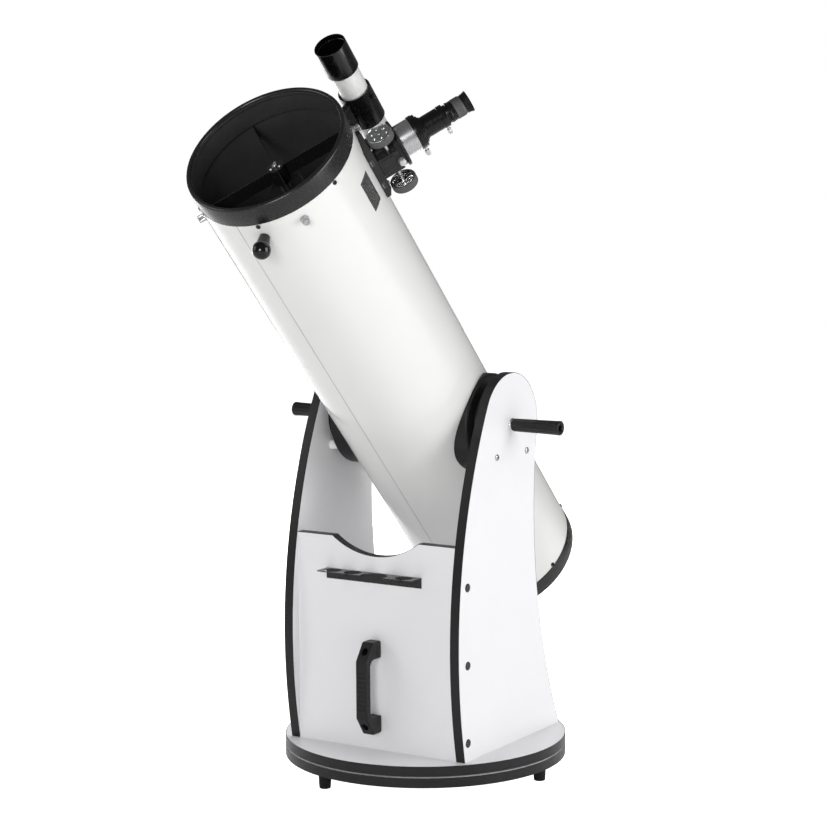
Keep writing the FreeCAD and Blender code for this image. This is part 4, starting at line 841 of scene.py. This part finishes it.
def focuser_drawtube():
    bore, outer, foot, top = span("drawtube", FOCUSER)
    tube = Shape()
    tube.turn([(bore, foot), (outer, foot, 0.5), (outer, top), (bore, top)], FOCUSER,
              closed=True, segments=160)
    tube.done("polished_drawtube", "drawtube", SILVER)

    low, high = top, span("drawtube_collar", FOCUSER)[3]
    outer = span("drawtube_collar", FOCUSER)[1]
    collar = Shape()
    collar.turn([(bore, low), (outer, low, 0.7), (outer, low + 8.4, 0.4), (outer - 1.2, low + 8.8),
                 (outer - 1.2, high, 0.7), (bore, high)], FOCUSER, closed=True, segments=144)
    collar.done("drawtube_clamp_collar", "drawtube_collar", BLACK_TURNED)

    bore, barrel, foot, mouth = span("eyepiece_adapter", FOCUSER)
    neck, step, rim = 19.4, 21.5, 20.3
    adapter = Shape()
    adapter.turn(
        [
            (bore, foot, 0.4),
            (barrel, foot, 0.8),
            (barrel, high),
            (step + 3.4, high, 0.4),
            (step + 3.4, high + 3.2, 0.5),
            (step, high + 3.6),
            (step, high + 5.6, 0.5),
            (neck, high + 6.6, 0.4),
            (neck, high + 8.6),
            (neck - 0.3, high + 8.8),
            (neck - 0.3, high + 9.3),
            (neck, high + 9.5),
            (neck, mouth - 11.0),
            (rim, mouth - 10.4, 0.3),
            (rim, mouth - 9.0),
            (rim - 0.3, mouth - 8.8),
            (rim - 0.3, mouth - 8.3),
            (rim, mouth - 8.1),
            (rim, mouth, 0.8),
            (bore, mouth, 0.5),
        ],
        FOCUSER, closed=True, segments=144)
    adapter.done("eyepiece_holder", "eyepiece_adapter", BLACK_TURNED)

    for node, level, stem, reach, radius in (
        ("collar_screw", (low + high) / 2, 2.0, 43.2, 4.5),
        ("adapter_screw", mouth - 5.5, 1.6, 28.3, 3.8),
    ):
        base = facing(shifted(FOCUSER, z=level), "-y")
        inner, tip = span(node, base)[2:]
        screw = Shape()
        thumb_grip(screw, base, stem, inner, reach, tip, radius)
        screw.done(node + "_grip", node, NICKEL)

    base = facing(shifted(FOCUSER, z=LOCK_LEVEL), "-x")
    inner, tip = span("focuser_lock_screw", base)[2:]
    lock = Shape()
    thumb_grip(lock, base, 2.0, inner, tip - 11.5, tip, 6.2)
    lock.done("lock_screw_grip", "focuser_lock_screw", NICKEL)


def eyepiece_parts():
    low, top = span("eyepiece", FOCUSER)[2:]
    barrel, mouth = 15.88, span("eyepiece_adapter", FOCUSER)[3]
    lens = top - 7.0
    piece = Shape()
    piece.turn([(barrel - 2.0, low + 4.0), (barrel - 2.0, low, 0.3), (barrel, low, 0.4),
                (barrel, mouth + 0.3)], FOCUSER, segments=120, tone=2)
    piece.turn(
        [
            (barrel, mouth + 0.3),
            (16.8, mouth + 0.3, 0.3),
            (16.8, mouth + 4.6, 0.3),
            (18.3, mouth + 6.0, 0.4),
            (18.3, mouth + 9.0, 0.4),
            (17.6, mouth + 10.5, 0.3),
            (17.6, mouth + 17.3),
        ],
        FOCUSER, segments=120)
    ribs = fluted(60, 0.02)
    piece.turn(
        [
            (17.6, mouth + 17.3),
            (18.2, mouth + 17.5, 0.3),
            (18.2, mouth + 18.5),
            (18.1, mouth + 19.0, 0.0, ribs),
            (18.1, mouth + 29.0, 0.0, ribs),
            (18.2, mouth + 30.5, 0.3),
            (16.6, mouth + 34.2, 0.3),
        ],
        FOCUSER, segments=240, tone=1)
    piece.turn([(16.6, mouth + 34.2), (16.6, top - 8.0, 0.4), (9.0, top - 6.0, 0.4),
                (9.0, lens), (barrel - 2.0, lens - 3.0), (barrel - 2.0, low + 4.0)],
               FOCUSER, segments=120)
    dome = [(9.2 * math.cos(a), lens + 1.4 * math.sin(a))
            for a in (math.radians(90.0 * k / 6) for k in range(7))]
    dome[-1] = (0.0, lens + 1.4)
    piece.turn([(0.0, lens - 1.5), (9.2, lens - 1.5), *dome], FOCUSER, segments=48, tone=3)
    piece.done("eyepiece_housing", "eyepiece", BLACK_TURNED, GREY_RUBBER, CHROME, LENS)

    flare = span("eyecup", FOCUSER)[1]
    cup = Shape()
    cup.turn(
        [
            (16.6, mouth + 36.5),
            (17.6, mouth + 36.5, 0.4),
            (17.3, mouth + 39.0, 0.3),
            (17.0, mouth + 39.8, 0.3),
            (17.2, top - 8.0, 2.0),
            (18.2, top - 4.2, 1.5),
            (flare, top - 1.1, 0.5),
            (flare - 0.9, top, 0.4),
            (flare - 3.0, top - 3.0, 0.8),
            (16.6, top - 6.0, 0.4),
        ],
        FOCUSER, closed=True, segments=120)
    cup.done("rubber_eyecup", "eyecup", RUBBER)


def drilled_disc(shape, base, radius, bore, level, holes, circle, hole_radius, tone):
    """A flat ring face with a circle of round holes, each running into a cone."""
    edges = []

    def loop_of(place, reach, count):
        ring = [shape.bm.verts.new(place @ (Vector((reach * math.cos(t), reach * math.sin(t),
                                                    level)) * MM))
                for t in (2 * math.pi * k / count for k in range(count))]
        edges.extend(shape.bm.edges.new(pair) for pair in zip(ring, ring[1:] + ring[:1]))
        return ring

    loop_of(base, radius, 96)
    loop_of(base, bore, 48)
    for k in range(holes):
        place = turned(base, 360.0 * k / holes, reach=circle)
        loop_of(place, hole_radius, 24)
        shape.turn([(0.0, level - 2.4), (hole_radius * 0.45, level - 2.4, 0.2),
                    (hole_radius, level)], place, segments=24, tone=tone + 1)
    made = bmesh.ops.triangle_fill(shape.bm, use_beauty=True, use_dissolve=True, edges=edges)
    for item in made["geom"]:
        if isinstance(item, bmesh.types.BMFace):
            item.material_index = tone


def focus_wheels():
    centre = FOCUSER.inverted() @ SHAFT / MM
    knobs = Shape()
    rim = span("focus_knobs", facing(shifted(FOCUSER, *centre), "+y"))[1]
    inner, outer = 46.5, 61.0
    knurl = fluted(72, 0.022)
    core = rim - 3.6
    face = rim - 1.0
    for direction in ("+y", "-y"):
        base = facing(shifted(FOCUSER, *centre), direction)
        knobs.turn([(0.0, 0.0), (4.0, 0.0), (4.0, inner)], base, segments=40, tone=1)
        knobs.turn(
            [
                (core, inner + 0.6, 0.3),
                (rim - 1.2, inner + 0.3, 0.6),
                (rim, inner + 1.4, 0.0, knurl),
                (rim, outer - 1.6, 0.0, knurl),
                (rim - 0.5, outer - 0.4, 0.4),
                (face, outer - 0.5),
                (core, outer - 3.0),
            ],
            base, closed=True, segments=288)
        knobs.turn([(core, inner + 0.6), (core - 0.2, inner, 0.3), (core - 1.2, inner, 0.3),
                    (core - 1.6, inner + 6.6, 1.2), (9.2, inner + 6.6, 1.0), (8.6, inner, 0.6),
                    (4.0, inner)], base, segments=120, tone=2)
        for k in range(6):
            spoke = turned(base, 60.0 * k + 30.0)
            knobs.bar((8.0, -1.3, inner + 1.4), (core - 0.8, 1.3, inner + 7.2), spoke,
                      radius=0.5, tone=2)
            knobs.turn([(2.9, inner + 6.5), (2.9, inner + 4.2, 0.5), (0.0, inner + 4.2)],
                       turned(base, 60.0 * k, reach=13.0), segments=24, tone=2)
        knobs.turn([(core, outer - 3.0), (face, outer - 0.5), (face - 0.3, outer, 0.2),
                    (face - 1.1, outer, 0.3), (face - 1.6, outer - 1.6)], base, segments=96,
                   tone=2)
        drilled_disc(knobs, base, face - 1.6, 1.6, outer - 1.6, 6, 13.4, 2.9, tone=3)
        knobs.turn([(0.0, outer - 2.8), (1.4, outer - 2.8), (1.6, outer - 1.6)], base,
                   segments=24, tone=2)
    knobs.done("focus_wheel_pair", "focus_knobs", GREY_RUBBER, STEEL, CHROME, SILVER_FACE, CHROME)


# ------------------------------------------------------------------- finder
AIM_STATION = 632.0
AIM_GRIP = 31.5


def finder_parts():
    outer, rear, front = span("finder_tube", FINDER)[1:]
    tail = 16.0
    wall = 1.5
    tube = Shape()
    tube.turn([(tail, rear), (tail, rear + 8.0, 1.0), (outer, rear + 28.0, 3.0), (outer, front),
               (outer - wall, front), (outer - wall, rear + 29.0), (tail - wall, rear + 8.5),
               (tail - wall, rear)], FINDER, closed=True, segments=160)
    tube.done("finder_barrel", "finder_tube", ENAMEL)

    seat = outer
    outer, rear, front = span("dew_shield", FINDER)[1:]
    front -= 0.2
    lip = 2.0
    shield = Shape()
    shield.turn(
        [
            (seat, rear, 0.3),
            (outer, rear, 1.2),
            (outer, rear + 5.0),
            (outer - 0.35, rear + 5.3),
            (outer - 0.35, rear + 6.3),
            (outer, rear + 6.6),
            (outer, front, 1.5),
            (outer - lip, front, 0.5),
            (outer - lip, front - 9.0),
            (outer - lip - 0.9, front - 9.6, 0.3),
            (outer - lip - 0.9, rear + 6.5),
            (seat, rear + 6.5),
        ],
        FINDER, closed=True, segments=160)
    shield.done("finder_dew_shield", "dew_shield", BLACK_FINDER)

    radius, back, seat_level = span("finder_objective", FINDER)[1:]
    dome = [(radius * math.cos(a), seat_level - 1.0 + 3.0 * math.sin(a))
            for a in (math.radians(90.0 * k / 12) for k in range(13))]
    dome[-1] = (0.0, seat_level + 2.0)
    lens = Shape()
    lens.turn([(0.0, back), (radius, back), *dome], FINDER, segments=96)
    lens.done("finder_lens", "finder_objective", LENS)

    bracket = Shape().cad("finder_bracket", width=0.7, steps=3)
    bracket.done("finder_bracket_casting", "finder_bracket", BLACK_BRACKET, weighted=True)
    dress("finder_shoe", SILVER, width=0.5)
    for node, angle in (("finder_screw_right", -75.0), ("finder_screw_left", 75.0)):
        base = facing(turned(FINDER, angle, AIM_STATION), "+x")
        inner, tip = span(node, base)[2:]
        screw = Shape()
        thumb_grip(screw, base, 1.6, inner, AIM_GRIP, tip, 4.0)
        screw.done(node + "_grip", node, BLACK_CAST)

    rear, front = span("finder_eyepiece", FINDER)[2:]
    eyepiece = Shape()
    ribs = fluted(48, 0.035)
    eyepiece.turn(
        [
            (0.0, rear + 5.0),
            (11.0, rear + 5.0),
            (11.0, rear + 2.0, 0.4),
            (tail - 2.5, rear, 0.6),
            (tail, rear + 3.0, 0.8),
            (tail, rear + 13.0, 0.6),
            (tail - 1.5, rear + 14.0, 0.4),
            (tail - 1.3, rear + 15.0, 0.0, ribs),
            (tail - 1.3, rear + 22.0, 0.0, ribs),
            (tail - 1.5, rear + 23.0),
            (tail - 0.5, rear + 24.0, 0.3),
            (tail - 0.5, rear + 27.0, 0.3),
            (tail - wall, rear + 27.0),
            (tail - wall, front),
            (0.0, front),
        ],
        FINDER, segments=192)
    eyepiece.turn([(0.0, rear + 6.4), (6.0, rear + 6.0), (10.9, rear + 4.9)], FINDER,
                  segments=48, tone=1)
    eyepiece.done("finder_eye_end", "finder_eyepiece", RUBBER, LENS)


# --------------------------------------------------------- studio and camera
def studio_floor():
    """A pale floor that looks as white as the surroundings and lights the object softly."""
    shape = Shape()
    shape.turn([(0.0, 0.0), (900.0, 0.0), (2400.0, 0.0), (9000.0, 0.0)], FLOOR, segments=96)
    bmesh.ops.recalc_face_normals(shape.bm, faces=shape.bm.faces)
    mesh = bpy.data.meshes.new("floor")
    shape.bm.to_mesh(mesh)
    shape.bm.free()
    look, tree, shader = node_tree("pale_floor")
    shader.inputs["Roughness"].default_value = 0.9
    shader.inputs["Specular IOR Level"].default_value = 0.1
    where = coordinates(tree, (1, 1, 1))
    tint = blended(tree, noise(tree, where, 3.0), (0.93, 0.93, 0.93), (0.95, 0.95, 0.95))
    tree.links.new(tint, shader.inputs["Base Color"])
    path = tree.nodes.new("ShaderNodeLightPath")
    glow = ranged(tree, path.outputs["Is Camera Ray"], 0.05, 1.0, 0.0, 1.0)
    shader.inputs["Emission Color"].default_value = (1, 1, 1, 1)
    tree.links.new(glow, shader.inputs["Emission Strength"])
    mesh.materials.append(look)
    floor = bpy.data.objects.new("studio_floor", mesh)
    scene.collection.objects.link(floor)


def surroundings(seen, felt):
    """A white world: what the view shows and how much it lights."""
    world = bpy.data.worlds.new("white_surroundings")
    world.use_nodes = True
    tree = world.node_tree
    back = tree.nodes["Background"]
    back.inputs["Color"].default_value = (1, 1, 1, 1)
    path = tree.nodes.new("ShaderNodeLightPath")
    strength = ranged(tree, path.outputs["Is Camera Ray"], felt, seen, 0.0, 1.0)
    tree.links.new(strength, back.inputs["Strength"])
    scene.world = world


def soft_light(name, place, target, width, height, power, shows=True):
    """A soft box that faces its target; shows tells whether it can be seen in reflections."""
    data = bpy.data.lights.new(name, "AREA")
    data.shape = "RECTANGLE"
    data.size = width
    data.size_y = height
    data.energy = power
    lamp = bpy.data.objects.new(name, data)
    lamp.visible_glossy = shows
    lamp.location = place
    lamp.rotation_mode = "QUATERNION"
    lamp.rotation_quaternion = (Vector(target) - Vector(place)).to_track_quat("-Z", "Y")
    scene.collection.objects.link(lamp)


VIEW_ANGLES = (32.374, 6.997, -0.378)
VIEW_PLACE = (2.41601, -3.84054, 1.25167)
VIEW_SHIFT = (-0.00237, -0.01134)
FOCAL_LENGTH = 106.98
SENSOR_WIDTH = 36.0


def camera():
    """The photograph's view: a long lens at the height of the tube's mouth, off to the right."""
    azimuth, elevation, roll = (math.radians(a) for a in VIEW_ANGLES)
    back = Vector((math.sin(azimuth) * math.cos(elevation),
                   -math.cos(azimuth) * math.cos(elevation), math.sin(elevation)))
    level = Vector((0, 0, 1)).cross(back).normalized()
    rise = back.cross(level)
    right = level * math.cos(roll) + rise * math.sin(roll)
    up = rise * math.cos(roll) - level * math.sin(roll)
    data = bpy.data.cameras.new("camera")
    data.lens = FOCAL_LENGTH
    data.sensor_width = SENSOR_WIDTH
    data.shift_x, data.shift_y = VIEW_SHIFT
    view = bpy.data.objects.new("camera", data)
    view.matrix_world = axes(right, up, back, VIEW_PLACE)
    scene.collection.objects.link(view)
    scene.camera = view


base_parts()
pivot()
rocker_boards()
rocker_fasteners()
pull_handle()
tube_and_rings()
altitude_gear()
spider_and_secondary()
main_mirror_and_cell()
tube_furniture()
focuser_housing()
focuser_drawtube()
eyepiece_parts()
focus_wheels()
finder_parts()

studio_floor()
surroundings(seen=1.0, felt=0.19)
soft_light("front", (1.4, -4.8, 1.6), (0, 0, 0.7), 1.6, 1.6, 96.0)
soft_light("right", (3.6, 0.2, 1.5), (0, 0, 0.7), 2.0, 2.6, 90.0)
soft_light("left", (-3.6, 1.2, 1.2), (0, 0, 0.6), 2.0, 2.4, 85.0)
soft_light("back", (-1.2, 3.8, 1.4), (0, 0, 0.5), 2.0, 2.4, 140.0, shows=False)
soft_light("key", (-3.2, -2.6, 2.0), (0, 0, 0.7), 2.0, 2.4, 30.0)
camera()
scene.view_settings.view_transform = "Standard"
